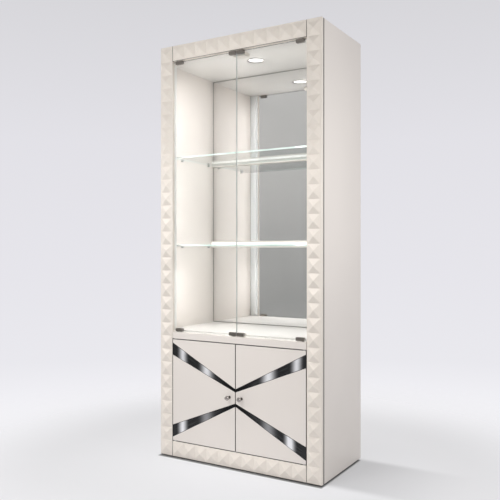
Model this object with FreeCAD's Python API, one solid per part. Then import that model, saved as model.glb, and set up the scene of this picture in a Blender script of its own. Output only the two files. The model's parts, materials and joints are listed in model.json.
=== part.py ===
"""Tall lacquered display cabinet: glass vitrine above, two-door cupboard below, studded face frame.

Millimetres, +Z up, front towards -Y. Shapes are drawn with y = 0 on the flat front of the face frame
and moved at the end so that the origin lies under the middle of the whole object, on the floor.
"""
import FreeCAD
import Part
import math
import os

V = FreeCAD.Vector

# Overall size
WIDTH = 890.0
HEIGHT = 2050.0
DEPTH = 456.0
FLOOR_GAP = 6.0

# Boards of the carcass
SIDE_THICK = 24.0
TOP_THICK = 18.0
CEILING_THICK = 18.0
CEILING_DROP = 4.0
DISPLAY_FLOOR_THICK = 28.0
DISPLAY_STEP = 8.0
BOTTOM_THICK = 18.0
BACK_THICK = 8.0
BACK_INSET = 12.0
GROOVE_DEPTH = 8.0
GROOVE_PLAY = 0.2
GROOVE_END_PLAY = 1.0
MIRROR_THICK = 4.0
MIRROR_GAP = 1.5
PLINTH_THICK = 18.0
PLINTH_INSET = 22.0
BOARD_ROUND = 1.5

# Dowels between the boards
DOWEL_RADIUS = 4.0
DOWEL_IN_SIDE = 14.0
DOWEL_IN_BOARD = 16.0
DOWEL_END_PLAY = 1.0
DOWELS_PER_JOINT = 2
DOWEL_MARGIN = 60.0

# Face frame and its pyramid studs
FRAME_THICK = 24.0
STILE_WIDTH = 73.0
RAIL_HEIGHT = 75.5
MID_RAIL_HEIGHT = 33.5
SILL_HEIGHT = 625.0
FRAME_SEAM = 2.0
FRAME_ROUND = 1.2
SHADOW_GROOVE_DEPTH = 9.0
SHADOW_GROOVE_WIDTH = 5.0
STUD_RISE = 10.0
STUD_SPACING = 1.2
STUDS_PER_STILE = 31
STUDS_PER_RAIL = 11
STILE_STUD_END = 11.5
STILE_STUD_OUTER = 8.0
STILE_STUD_INNER = 5.0
RAIL_STUD_MARGIN = 5.5
RAIL_STUD_END = 2.0

# Feet
FOOT_BLOCK = 56.0
FOOT_BLOCK_LIFT = 8.0
FOOT_RADIUS = 18.0
FOOT_PAD_HEIGHT = 7.0
FOOT_EDGE = 1.5
FOOT_STEM_RADIUS = 5.0
FOOT_STEM_TOP = 48.0

# Glass shelves, their pins and the light bars behind them
SHELF_THICK = 8.0
LOWER_SHELF_HEIGHT = 1052.0
UPPER_SHELF_HEIGHT = 1499.0
SHELF_FRONT = 70.0
SHELF_SIDE_GAP = 1.5
SHELF_EDGE = 0.8
PIN_SPIGOT_RADIUS = 2.5
PIN_SPIGOT_LENGTH = 9.0
PIN_HEAD_RADIUS = 5.0
PIN_HEAD_LENGTH = 12.0
PIN_FLAT = 2.0
PIN_PAD_THICK = 1.0
PIN_PAD_INSET = 2.0
PIN_FRONT_Y = 140.0
PIN_REAR_Y = 380.0
BAR_DEPTH = 18.0
BAR_BELOW = 6.0
BAR_HEIGHT = 36.0
BAR_END_GAP = 1.0
BAR_SLOT_DEPTH = 10.0
BAR_SLOT_PLAY = 0.2
BAR_LIP = 7.0
BAR_DIFFUSER_HEIGHT = 12.0
DIFFUSER_THICK = 3.0
DIFFUSER_PLAY = 0.2
DIFFUSER_RECESS = 0.5

# Light strips behind the stiles
CHANNEL_WIDTH = 16.0
CHANNEL_DEPTH = 14.0
CHANNEL_WALL = 1.5
CHANNEL_INSET = 4.0
CHANNEL_END_GAP = 12.0

# Downlight, driver and cable outlet above the ceiling
DOWNLIGHT_Y = 190.0
DOWNLIGHT_HOLE = 41.0
BEZEL_RADIUS = 45.0
BEZEL_DROP = 4.0
BEZEL_COLLAR = 40.5
BEZEL_BORE = 35.5
BEZEL_WALL = 2.5
LENS_SEAT = 3.0
LENS_THICK = 3.0
CAN_HEIGHT = 34.0
CAN_CHAMFER = 4.0
DRIVER_LENGTH = 170.0
DRIVER_DEPTH = 50.0
DRIVER_HEIGHT = 24.0
DRIVER_X = 205.0
DRIVER_ROUND = 2.0
GROMMET_RADIUS = 12.0
GROMMET_BORE = 8.0
GROMMET_FLANGE = 16.0
GROMMET_FLANGE_THICK = 2.0

# Pivots shared by all four doors
BUSH_RADIUS = 5.0
BUSH_LENGTH = 14.0
BUSH_FLANGE = 7.0
BUSH_FLANGE_THICK = 1.0
PIVOT_RADIUS = 3.0
PIVOT_REACH = 11.0
PIVOT_COLLAR = 5.5
PIVOT_AXIAL_PLAY = 0.2
RUNNING_FIT = 0.06
TIGHT_FIT = 0.05

# Glass doors and their clamps
PANE_THICK = 5.0
PANE_SIDE_GAP = 2.5
PANE_END_GAP = 6.0
PANE_AXIS_Y = 12.0
PANE_EDGE = 0.6
CLAMP_WIDTH = 41.0
CLAMP_HEIGHT = 15.5
CLAMP_DEPTH = 15.0
CLAMP_SETBACK = 16.0
CLAMP_PIVOT_INSET = 8.0
CLAMP_WEB = 2.5
CLAMP_ROUND = 2.5
GASKET_THICK = 0.5
GASKET_INSET = 1.0
CLIP_WIDTH = 38.0
CLIP_INSET = 1.25
GRUB_RADIUS = 2.5
GRUB_SOCKET = 1.25
GRUB_SOCKET_DEPTH = 2.0
GRUB_EDGE = 10.0
SWEEP_CLEAR = 2.0

# Touch latch above, magnetic stops below
CONTACT_GAP = 0.3
LATCH_WIDTH = 64.0
LATCH_LENGTH = 46.0
LATCH_HEIGHT = 18.0
LATCH_FRONT = 32.0
LATCH_SPREAD = 18.0
LATCH_ROUND = 2.0
PLUNGER_RADIUS = 4.0
PLUNGER_HEAD_RADIUS = 5.5
PLUNGER_HEAD_THICK = 3.0
PLUNGER_TAIL = 36.0
PLUNGER_BORE_PLAY = 2.0
MAGNET_STOP_WIDTH = 28.0
MAGNET_STOP_HEIGHT = 16.0

# Cupboard doors, inlays, knobs and catch
DOOR_THICK = 20.0
DOOR_GAP = 3.0
DOOR_ROUND = 1.2
DOOR_PIVOT_INSET = 12.0
DOOR_PIVOT_CLEAR = 0.6
DOOR_PIN_BURY = 26.0
INLAY_DEPTH = 2.0
INLAY_PROUD = 0.4
INLAY_PLAY = 0.25
INLAY_OUTER_LOW = 174.0
INLAY_OUTER_WIDTH = 61.0
INLAY_INNER_LOW = 26.5
INLAY_INNER_WIDTH = 15.5
KNOB_OFFSET = 33.0
KNOB_BALL = 11.0
KNOB_STAND = 23.0
KNOB_NECK = 3.6
KNOB_ROSE = 7.0
KNOB_ROSE_THICK = 1.5
KNOB_FLARE = 3.0
KNOB_SCREW_RADIUS = 2.0
KNOB_SCREW_BURY = 14.0
KNOB_SCREW_HEAD = 4.0
KNOB_SCREW_HEAD_THICK = 2.5
STRIKE_WIDTH = 26.0
STRIKE_HEIGHT = 16.0
STRIKE_THICK = 1.5
STRIKE_DROP = 4.0
STRIKE_INSET = 6.0
CATCH_DEPTH = 26.0
CATCH_BORDER = 4.0

# Board inside the cupboard
CUPBOARD_SHELF_HEIGHT = 330.0
CUPBOARD_SHELF_THICK = 18.0
CUPBOARD_SHELF_FRONT = 60.0
CUPBOARD_SHELF_GAP = 1.0

# Planes and levels that several pieces share
INNER_HALF = WIDTH / 2 - SIDE_THICK
OPEN_HALF = WIDTH / 2 - STILE_WIDTH
RAIL_UNDER = HEIGHT - RAIL_HEIGHT
CEILING = RAIL_UNDER - CEILING_DROP
CEILING_TOP = CEILING + CEILING_THICK
BASE_TOP = FLOOR_GAP + RAIL_HEIGHT
BASE_UNDER = BASE_TOP - BOTTOM_THICK
DISPLAY_TOP = SILL_HEIGHT + DISPLAY_STEP
DISPLAY_UNDER = DISPLAY_TOP - DISPLAY_FLOOR_THICK
MID_RAIL_UNDER = SILL_HEIGHT - MID_RAIL_HEIGHT
BACK_FRONT = DEPTH - BACK_INSET - BACK_THICK
MIRROR_FACE = BACK_FRONT - MIRROR_THICK
BAR_FACE = MIRROR_FACE - BAR_DEPTH
PLINTH_FRONT = DEPTH - PLINTH_INSET - PLINTH_THICK
PANE_OUTER = OPEN_HALF - PANE_SIDE_GAP
PANE_INNER = PANE_SIDE_GAP / 2
PANE_TOP = RAIL_UNDER - PANE_END_GAP
PANE_BOTTOM = SILL_HEIGHT + PANE_END_GAP
PANE_MID = (PANE_TOP + PANE_BOTTOM) / 2
PANE_PIVOT_X = OPEN_HALF - CLAMP_SETBACK - CLAMP_PIVOT_INSET
SLOT_HALF = PANE_THICK / 2 + GASKET_THICK
CLAMP_TOP = PANE_TOP + GASKET_THICK + CLAMP_WEB
CLAMP_BACK = PANE_AXIS_Y + CLAMP_DEPTH / 2
PANE_SWEEP = PANE_AXIS_Y + math.hypot(PANE_OUTER - PANE_PIVOT_X, PANE_THICK / 2)
DISPLAY_STEP_Y = PANE_SWEEP + SWEEP_CLEAR
DOOR_OUTER = OPEN_HALF - DOOR_GAP
DOOR_INNER = DOOR_GAP / 2
DOOR_TOP = MID_RAIL_UNDER - DOOR_GAP
DOOR_BOTTOM = BASE_TOP + DOOR_GAP
DOOR_MID = (DOOR_TOP + DOOR_BOTTOM) / 2
DOOR_PIVOT_X = DOOR_OUTER - DOOR_PIVOT_INSET
DOOR_PIVOT_Y = math.sqrt((DOOR_PIVOT_INSET + DOOR_GAP - DOOR_PIVOT_CLEAR) ** 2 - DOOR_PIVOT_INSET ** 2)
LATCH_AXIS_Z = CEILING - LATCH_HEIGHT / 2
STRIKE_TOP = DOOR_TOP - STRIKE_DROP
FACE_Y = (KNOB_STAND + KNOB_BALL - DEPTH) / 2

UP = V(0, 0, 1)
RIGHT = V(1, 0, 0)
REARWARD = V(0, 1, 0)
FORWARD = V(0, -1, 0)


def box(x0, x1, y0, y1, z0, z1):
    """Block between two corners."""
    return Part.makeBox(x1 - x0, y1 - y0, z1 - z0, V(x0, y0, z0))


def wide_box(half, y0, y1, z0, z1):
    """Block centred on the middle plane of the cabinet."""
    return box(-half, half, y0, y1, z0, z1)


def rod(radius, start, end):
    """Round bar from one point to another."""
    return Part.makeCylinder(radius, (end - start).Length, start, end - start)


def turned(profile, centre, axis):
    """Solid of revolution of an outline given as (radius, distance along the axis)."""
    across = RIGHT if abs(axis.x) < 0.5 else UP
    points = [centre + across * radius + axis * along for radius, along in profile]
    return Part.Face(Part.makePolygon(points + points[:1])).revolve(centre, axis, 360)


def prism(points, travel):
    """Flat outline pushed along a vector."""
    return Part.Face(Part.makePolygon(points + points[:1])).extrude(travel)


def other_side(shape):
    """The same shape on the other side of the middle plane."""
    return shape.mirror(V(), RIGHT)


def both_sides(shapes):
    """Left-hand shapes and their right-hand twins."""
    return shapes + [other_side(shape) for shape in shapes]


def upside_down(shape, level):
    """The same shape turned over about a level."""
    return shape.mirror(V(0, 0, level), UP)


def runs_along(edge, direction):
    """True for a straight edge parallel to a direction."""
    return abs(abs(edge.tangentAt(edge.FirstParameter).dot(direction)) - 1) < 1e-6


def on_front(edge, y):
    """True for an edge that lies in the plane at y."""
    return abs(edge.BoundBox.YMin - y) < 1e-6 and abs(edge.BoundBox.YMax - y) < 1e-6


def solid(shape):
    """A boolean result as one plain solid with its flat faces merged."""
    return shape.removeSplitter().Solids[0]


def dowel_seats():
    """Points on the left inner wall where a dowel crosses into a board."""
    levels = [
        HEIGHT - TOP_THICK / 2,
        CEILING + CEILING_THICK / 2,
        DISPLAY_TOP - DISPLAY_FLOOR_THICK / 2,
        BASE_TOP - BOTTOM_THICK / 2,
    ]
    first = FRAME_THICK + DOWEL_MARGIN
    step = (BACK_FRONT - DOWEL_MARGIN - first) / (DOWELS_PER_JOINT - 1)
    return [V(-INNER_HALF, first + step * n, z) for z in levels for n in range(DOWELS_PER_JOINT)]


def dowel(seat, radius, end_play):
    """Dowel, or the hole for it, on the left wall."""
    start = seat - RIGHT * (DOWEL_IN_SIDE - end_play)
    return rod(radius, start, seat + RIGHT * (DOWEL_IN_BOARD - end_play))


def dowel_holes():
    """All dowel holes of the left wall."""
    return [dowel(seat, DOWEL_RADIUS + TIGHT_FIT, 0) for seat in dowel_seats()]


def pin_seats(shelf_under, pad, front, rear):
    """Points on the left wall where the support pins of a shelf are plugged in."""
    return [V(-INNER_HALF, y, shelf_under - pad - PIN_FLAT) for y in (front, rear)]


def glass_pin_seats():
    """Pin points of both glass shelves."""
    seats = []
    for height in (LOWER_SHELF_HEIGHT, UPPER_SHELF_HEIGHT):
        seats += pin_seats(height, PIN_PAD_THICK, PIN_FRONT_Y, PIN_REAR_Y)
    return seats


def cupboard_pin_seats():
    """Pin points of the board inside the cupboard."""
    return pin_seats(CUPBOARD_SHELF_HEIGHT, 0, PIN_FRONT_Y, PIN_REAR_Y)


def shelf_pin(seat):
    """Plug-in pin whose round head is cut flat where the shelf lies."""
    head = rod(PIN_HEAD_RADIUS, seat, seat + RIGHT * PIN_HEAD_LENGTH)
    above = box(seat.x, seat.x + PIN_HEAD_LENGTH, seat.y - PIN_HEAD_RADIUS, seat.y + PIN_HEAD_RADIUS,
                seat.z + PIN_FLAT, seat.z + PIN_HEAD_RADIUS)
    spigot = rod(PIN_SPIGOT_RADIUS, seat - RIGHT * PIN_SPIGOT_LENGTH, seat)
    return solid(head.cut(above).fuse(spigot))


def pin_pad(seat):
    """Soft pad on the flat of a pin."""
    half = math.sqrt(PIN_HEAD_RADIUS ** 2 - PIN_FLAT ** 2)
    top = seat.z + PIN_FLAT
    return box(seat.x + PIN_PAD_INSET, seat.x + PIN_HEAD_LENGTH, seat.y - half, seat.y + half,
               top, top + PIN_PAD_THICK)


def side_panel():
    """Left side board: grooved for the back, bored for dowels and shelf pins."""
    board = box(-WIDTH / 2, -INNER_HALF, FRAME_THICK, DEPTH, FLOOR_GAP, HEIGHT)
    outer = [edge for edge in board.Edges
             if abs(edge.BoundBox.XMax + WIDTH / 2) < 1e-6 and edge.BoundBox.ZMax > FLOOR_GAP + 1e-6]
    board = board.makeFillet(BOARD_ROUND, outer)
    cuts = [back_groove(-INNER_HALF - GROOVE_DEPTH, -INNER_HALF)] + dowel_holes()
    for seat in glass_pin_seats() + cupboard_pin_seats():
        end = seat - RIGHT * (PIN_SPIGOT_LENGTH + GROOVE_PLAY)
        cuts.append(rod(PIN_SPIGOT_RADIUS + TIGHT_FIT, end, seat))
    return solid(board.cut(cuts))


def back_groove(x0, x1):
    """Space that the back board and its play take out of the boards around it."""
    return box(x0, x1, BACK_FRONT - GROOVE_PLAY, BACK_FRONT + BACK_THICK + GROOVE_PLAY,
               BASE_TOP - GROOVE_DEPTH, HEIGHT - TOP_THICK + GROOVE_DEPTH)


def cross_board(rear, z0, z1):
    """Board between the side panels, bored at both ends for its dowels."""
    board = wide_box(INNER_HALF, FRAME_THICK, rear, z0, z1)
    return board.cut(both_sides(dowel_holes()))


def top_panel():
    """Top board, grooved underneath for the back."""
    board = cross_board(DEPTH, HEIGHT - TOP_THICK, HEIGHT)
    return solid(board.cut(back_groove(-INNER_HALF, INNER_HALF)))


def ceiling_panel():
    """Ceiling of the vitrine with the downlight hole."""
    board = cross_board(BACK_FRONT, CEILING, CEILING_TOP)
    return solid(board.cut(rod(DOWNLIGHT_HOLE, V(0, DOWNLIGHT_Y, CEILING), V(0, DOWNLIGHT_Y, CEILING_TOP))))


def display_floor():
    """Floor of the vitrine, stepped down at the front where the glass doors swing."""
    board = cross_board(BACK_FRONT, DISPLAY_UNDER, DISPLAY_TOP)
    step = wide_box(INNER_HALF, FRAME_THICK, DISPLAY_STEP_Y, SILL_HEIGHT, DISPLAY_TOP)
    return solid(board.cut(step))


def bottom_panel():
    """Floor of the cupboard, grooved on top for the back."""
    board = cross_board(DEPTH, BASE_UNDER, BASE_TOP)
    return solid(board.cut(back_groove(-INNER_HALF, INNER_HALF)))


def grommet_centre():
    """Cable outlet on the rear face of the back board, level with the driver."""
    return V(DRIVER_X, BACK_FRONT + BACK_THICK, CEILING_TOP + GROMMET_FLANGE)


def back_panel():
    """Back board in its grooves, with the cable outlet hole."""
    slack = GROOVE_DEPTH - GROOVE_END_PLAY
    board = wide_box(INNER_HALF + slack, BACK_FRONT, BACK_FRONT + BACK_THICK,
                     BASE_TOP - slack, HEIGHT - TOP_THICK + slack)
    rear = grommet_centre()
    return board.cut(rod(GROMMET_RADIUS + TIGHT_FIT, rear - REARWARD * BACK_THICK, rear))


def cable_grommet():
    """Plastic sleeve that lines the cable outlet."""
    profile = [
        (GROMMET_BORE, -BACK_THICK),
        (GROMMET_RADIUS, -BACK_THICK),
        (GROMMET_RADIUS, 0),
        (GROMMET_FLANGE, 0),
        (GROMMET_FLANGE, GROMMET_FLANGE_THICK),
        (GROMMET_BORE, GROMMET_FLANGE_THICK),
    ]
    return turned(profile, grommet_centre(), REARWARD)


def mirror_panel():
    """Mirror that fills the back of the vitrine."""
    return wide_box(INNER_HALF - MIRROR_GAP, MIRROR_FACE, BACK_FRONT, DISPLAY_TOP + MIRROR_GAP,
                    CEILING - MIRROR_GAP)


def rear_plinth():
    """Board that carries the rear of the base."""
    return wide_box(INNER_HALF, PLINTH_FRONT, PLINTH_FRONT + PLINTH_THICK, FLOOR_GAP, BASE_UNDER)


def foot_places():
    """Centres of the four feet, under the corner blocks."""
    x = INNER_HALF - FOOT_BLOCK / 2
    rows = (FRAME_THICK + FOOT_BLOCK / 2, PLINTH_FRONT - FOOT_BLOCK / 2)
    return [V(side * x, y, 0) for side in (-1, 1) for y in rows]


def corner_block(place):
    """Wooden block that a foot screws into."""
    half = FOOT_BLOCK / 2
    block = box(place.x - half, place.x + half, place.y - half, place.y + half,
                FLOOR_GAP + FOOT_BLOCK_LIFT, BASE_UNDER)
    return block.cut(rod(FOOT_STEM_RADIUS + TIGHT_FIT, place, place + UP * BASE_UNDER))


def levelling_foot(place):
    """Foot pad with its stem."""
    profile = [
        (0, 0),
        (FOOT_RADIUS - FOOT_EDGE, 0),
        (FOOT_RADIUS, FOOT_EDGE),
        (FOOT_RADIUS, FOOT_PAD_HEIGHT - FOOT_EDGE),
        (FOOT_RADIUS - FOOT_EDGE, FOOT_PAD_HEIGHT),
        (FOOT_STEM_RADIUS, FOOT_PAD_HEIGHT),
        (FOOT_STEM_RADIUS, FOOT_STEM_TOP),
        (0, FOOT_STEM_TOP),
    ]
    return turned(profile, place, UP)


def stud(x0, x1, z0, z1):
    """Square pyramid that stands on the front of the frame."""
    base = [V(x0, 0, z0), V(x1, 0, z0), V(x1, 0, z1), V(x0, 0, z1)]
    tip = V((x0 + x1) / 2, -STUD_RISE, (z0 + z1) / 2)
    outlines = [base] + [[base[n - 1], base[n], tip] for n in range(4)]
    faces = [Part.Face(Part.makePolygon(outline + outline[:1])) for outline in outlines]
    return Part.makeSolid(Part.makeShell(faces))


def stud_spans(start, end, count):
    """Start and end of each stud in an even row."""
    pitch = (end - start) / count
    half_gap = STUD_SPACING / 2
    return [(start + pitch * n + half_gap, start + pitch * (n + 1) - half_gap) for n in range(count)]


def frame_board(x0, x1, z0, z1):
    """Plain board of the face frame with its front edges eased."""
    board = box(x0, x1, 0, FRAME_THICK, z0, z1)
    return board.makeFillet(FRAME_ROUND, [edge for edge in board.Edges if on_front(edge, 0)])


def stile():
    """Left stile with its column of studs and the shadow groove along the side panel."""
    board = frame_board(-WIDTH / 2, -OPEN_HALF, FLOOR_GAP, HEIGHT)
    groove = box(-WIDTH / 2, -WIDTH / 2 + SHADOW_GROOVE_DEPTH, FRAME_THICK - SHADOW_GROOVE_WIDTH,
                 FRAME_THICK, FLOOR_GAP, HEIGHT)
    x0 = -WIDTH / 2 + STILE_STUD_OUTER
    x1 = -OPEN_HALF - STILE_STUD_INNER
    spans = stud_spans(FLOOR_GAP + STILE_STUD_END, HEIGHT - STILE_STUD_END, STUDS_PER_STILE)
    return solid(board.cut(groove).fuse([stud(x0, x1, z0, z1) for z0, z1 in spans]))


def studded_rail(z0, z1):
    """Rail between the stiles with its row of studs."""
    half = OPEN_HALF - FRAME_SEAM
    reach = half - RAIL_STUD_END
    spans = stud_spans(-reach, reach, STUDS_PER_RAIL)
    studs = [stud(x0, x1, z0 + RAIL_STUD_MARGIN, z1 - RAIL_STUD_MARGIN) for x0, x1 in spans]
    return frame_board(-half, half, z0, z1).fuse(studs)


def pivot_points(x, y, upper, lower):
    """Upper and lower pivot of a left-hand door, each with the direction into its rail."""
    return [(V(-x, y, upper), UP), (V(-x, y, lower), -UP)]


def pane_pivots():
    """Pivots of the left glass door, on the faces of its rails."""
    return pivot_points(PANE_PIVOT_X, PANE_AXIS_Y, RAIL_UNDER, SILL_HEIGHT)


def door_pivots():
    """Pivots of the left cupboard door, on the faces of its rails."""
    return pivot_points(DOOR_PIVOT_X, DOOR_PIVOT_Y, MID_RAIL_UNDER, BASE_TOP)


def bush_holes():
    """Holes in the rails for all the pivot bushes."""
    holes = []
    for point, inward in pane_pivots() + door_pivots():
        holes.append(rod(BUSH_RADIUS + TIGHT_FIT, point, point + inward * BUSH_LENGTH))
    return both_sides(holes)


def pivot_bush(point, inward):
    """Flanged sleeve that a pivot turns in."""
    bore = PIVOT_RADIUS + RUNNING_FIT
    profile = [
        (bore, -BUSH_FLANGE_THICK),
        (BUSH_FLANGE, -BUSH_FLANGE_THICK),
        (BUSH_FLANGE, 0),
        (BUSH_RADIUS, 0),
        (BUSH_RADIUS, BUSH_LENGTH),
        (bore, BUSH_LENGTH),
    ]
    return turned(profile, point, inward)


def pivot(point, inward, standing, bury):
    """Pivot pin with the collar that runs on the bush, standing off the rail and buried in the door."""
    collar_top = -BUSH_FLANGE_THICK - PIVOT_AXIAL_PLAY
    profile = [
        (0, -standing - bury),
        (PIVOT_RADIUS, -standing - bury),
        (PIVOT_RADIUS, -standing),
        (PIVOT_COLLAR, -standing),
        (PIVOT_COLLAR, collar_top),
        (PIVOT_RADIUS, collar_top),
        (PIVOT_RADIUS, PIVOT_REACH),
        (0, PIVOT_REACH),
    ]
    return turned(profile, point, inward)


def glass_shelf(under):
    """Glass shelf with eased front edges, its rear edge inside the light bar."""
    rear = BAR_FACE + BAR_SLOT_DEPTH - BAR_SLOT_PLAY
    shelf = wide_box(INNER_HALF - SHELF_SIDE_GAP, SHELF_FRONT, rear, under, under + SHELF_THICK)
    front = [edge for edge in shelf.Edges if on_front(edge, SHELF_FRONT) and runs_along(edge, RIGHT)]
    return shelf.makeChamfer(SHELF_EDGE, front)


def bar_diffuser_span(under):
    """Lower and upper level of the lit window of a light bar."""
    top = under - BAR_BELOW + BAR_HEIGHT - BAR_LIP
    return top - BAR_DIFFUSER_HEIGHT, top


def light_bar(under):
    """Extruded bar on the mirror that grips the rear edge of a shelf and holds its light."""
    half = INNER_HALF - BAR_END_GAP
    z0 = under - BAR_BELOW
    bar = wide_box(half, BAR_FACE, MIRROR_FACE, z0, z0 + BAR_HEIGHT)
    slot = wide_box(half, BAR_FACE, BAR_FACE + BAR_SLOT_DEPTH, under - BAR_SLOT_PLAY,
                    under + SHELF_THICK + BAR_SLOT_PLAY)
    low, high = bar_diffuser_span(under)
    window = wide_box(half, BAR_FACE, BAR_FACE + DIFFUSER_RECESS + DIFFUSER_THICK, low, high)
    return bar.cut([slot, window])


def bar_diffuser(under):
    """Opal strip in the window of a light bar."""
    low, high = bar_diffuser_span(under)
    front = BAR_FACE + DIFFUSER_RECESS
    return wide_box(INNER_HALF - BAR_END_GAP, front, front + DIFFUSER_THICK, low + DIFFUSER_PLAY,
                    high - DIFFUSER_PLAY)


def channel_ends():
    """Bottom and top of the light strips behind the stiles."""
    return DISPLAY_TOP + CHANNEL_END_GAP, CEILING - CHANNEL_END_GAP


def strip_channel():
    """Left light channel on the back of the stile, open towards the side wall."""
    x1 = -OPEN_HALF - CHANNEL_INSET
    x0 = x1 - CHANNEL_WIDTH
    y1 = FRAME_THICK + CHANNEL_DEPTH
    z0, z1 = channel_ends()
    hollow = box(x0, x1 - CHANNEL_WALL, FRAME_THICK + CHANNEL_WALL, y1 - CHANNEL_WALL, z0, z1)
    return box(x0, x1, FRAME_THICK, y1, z0, z1).cut(hollow)


def strip_diffuser():
    """Opal strip in the mouth of the left light channel."""
    x0 = -OPEN_HALF - CHANNEL_INSET - CHANNEL_WIDTH + DIFFUSER_RECESS
    edge = CHANNEL_WALL + DIFFUSER_PLAY
    z0, z1 = channel_ends()
    return box(x0, x0 + DIFFUSER_THICK, FRAME_THICK + edge, FRAME_THICK + CHANNEL_DEPTH - edge, z0, z1)


def downlight_centre():
    """Middle of the downlight on the ceiling face."""
    return V(0, DOWNLIGHT_Y, CEILING)


def downlight_bezel():
    """Turned ring that fills the ceiling hole and carries the lens."""
    bore = BEZEL_COLLAR - BEZEL_WALL
    crest = (BEZEL_BORE + BEZEL_RADIUS) / 2
    profile = [
        (BEZEL_BORE, -BEZEL_DROP / 4),
        (crest, -BEZEL_DROP),
        (BEZEL_RADIUS - BEZEL_DROP / 4, -BEZEL_DROP * 3 / 4),
        (BEZEL_RADIUS, 0),
        (BEZEL_COLLAR, 0),
        (BEZEL_COLLAR, CEILING_THICK),
        (bore, CEILING_THICK),
        (bore, LENS_SEAT),
        (BEZEL_BORE, LENS_SEAT),
    ]
    return turned(profile, downlight_centre(), UP)


def lens_radius():
    """Lens and can fit inside the collar of the bezel."""
    return BEZEL_COLLAR - BEZEL_WALL - DIFFUSER_PLAY


def downlight_lens():
    """Frosted lens on the ledge of the bezel."""
    seat = downlight_centre() + UP * LENS_SEAT
    return rod(lens_radius(), seat, seat + UP * LENS_THICK)


def downlight_can():
    """Lamp housing above the lens."""
    low = LENS_SEAT + LENS_THICK
    high = low + CAN_HEIGHT
    radius = lens_radius()
    profile = [
        (0, low),
        (radius, low),
        (radius, high - CAN_CHAMFER),
        (radius - CAN_CHAMFER, high),
        (0, high),
    ]
    return turned(profile, downlight_centre(), UP)


def led_driver():
    """Power supply that lies on the ceiling board."""
    y0 = DOWNLIGHT_Y - DRIVER_DEPTH / 2
    block = box(DRIVER_X - DRIVER_LENGTH / 2, DRIVER_X + DRIVER_LENGTH / 2, y0, y0 + DRIVER_DEPTH,
                CEILING_TOP, CEILING_TOP + DRIVER_HEIGHT)
    upper = [edge for edge in block.Edges if edge.BoundBox.ZMax > CEILING_TOP + 1e-6]
    return block.makeFillet(DRIVER_ROUND, upper)


def glass_pane():
    """Left glass door leaf with eased faces."""
    pane = box(-PANE_OUTER, -PANE_INNER, PANE_AXIS_Y - PANE_THICK / 2, PANE_AXIS_Y + PANE_THICK / 2,
               PANE_BOTTOM, PANE_TOP)
    return pane.makeChamfer(PANE_EDGE, [edge for edge in pane.Edges if not runs_along(edge, REARWARD)])


def fitting_spans():
    """Start and end of the upper pivot clamp and of the upper strike clip of the left door."""
    clamp = -OPEN_HALF + CLAMP_SETBACK
    clip = -PANE_INNER - CLIP_INSET
    return (clamp, clamp + CLAMP_WIDTH), (clip - CLIP_WIDTH, clip)


def grub_places(span):
    """Screws of a fitting: two in a clamp, evenly set in from its ends."""
    return [span[0] + GRUB_EDGE, span[1] - GRUB_EDGE]


def grub_height():
    """Level of the screws, halfway down the gripped glass."""
    return (PANE_TOP + CLAMP_TOP - CLAMP_HEIGHT) / 2


def grip(span):
    """Saddle over the top edge of the glass, slotted for it and bored for its screws."""
    z0 = CLAMP_TOP - CLAMP_HEIGHT
    body = box(span[0], span[1], CLAMP_BACK - CLAMP_DEPTH, CLAMP_BACK, z0, CLAMP_TOP)
    body = body.makeFillet(CLAMP_ROUND, [edge for edge in body.Edges if runs_along(edge, REARWARD)])
    cuts = [box(span[0], span[1], PANE_AXIS_Y - SLOT_HALF, PANE_AXIS_Y + SLOT_HALF,
                z0, PANE_TOP + GASKET_THICK)]
    for x in grub_places(span):
        front = V(x, PANE_AXIS_Y, grub_height())
        cuts.append(rod(GRUB_RADIUS + TIGHT_FIT, front, front + REARWARD * CLAMP_DEPTH))
    return body.cut(cuts)


def pivot_clamp():
    """Upper hinge clamp of the left glass door with its pivot."""
    point, inward = pane_pivots()[0]
    standing = RAIL_UNDER - CLAMP_TOP
    return solid(grip(fitting_spans()[0]).fuse(pivot(point, inward, standing, 0)))


def strike_clip():
    """Upper clip at the meeting edge of the left glass door."""
    return solid(grip(fitting_spans()[1]))


def gasket(span):
    """Soft lining between a fitting and the glass."""
    z0 = CLAMP_TOP - CLAMP_HEIGHT + GASKET_INSET
    x0 = span[0] + GASKET_INSET
    x1 = span[1] - GASKET_INSET
    lining = box(x0, x1, PANE_AXIS_Y - SLOT_HALF, PANE_AXIS_Y + SLOT_HALF, z0, PANE_TOP + GASKET_THICK)
    glass = box(x0, x1, PANE_AXIS_Y - PANE_THICK / 2, PANE_AXIS_Y + PANE_THICK / 2, z0, PANE_TOP)
    return solid(lining.cut(glass))


def grub_screw(x):
    """Socket screw in the rear cheek of a fitting."""
    rear = V(x, CLAMP_BACK, grub_height())
    body = rod(GRUB_RADIUS, V(x, PANE_AXIS_Y + SLOT_HALF, rear.z), rear)
    corners = []
    for n in range(6):
        angle = math.radians(60 * n)
        corners.append(rear + V(math.cos(angle), 0, math.sin(angle)) * GRUB_SOCKET)
    return body.cut(prism(corners, FORWARD * GRUB_SOCKET_DEPTH))


def top_and_bottom(shapes):
    """Upper fittings of a glass door and the same ones on its lower edge."""
    return shapes + [upside_down(shape, PANE_MID) for shape in shapes]


def plunger():
    """Plunger of the touch latch behind the left strike clip."""
    tip = V(-LATCH_SPREAD, CLAMP_BACK + CONTACT_GAP, LATCH_AXIS_Z)
    tail = V(-LATCH_SPREAD, LATCH_FRONT + PLUNGER_TAIL, LATCH_AXIS_Z)
    head = rod(PLUNGER_HEAD_RADIUS, tip, tip + REARWARD * PLUNGER_HEAD_THICK)
    return solid(head.fuse(rod(PLUNGER_RADIUS, tip, tail)))


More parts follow.
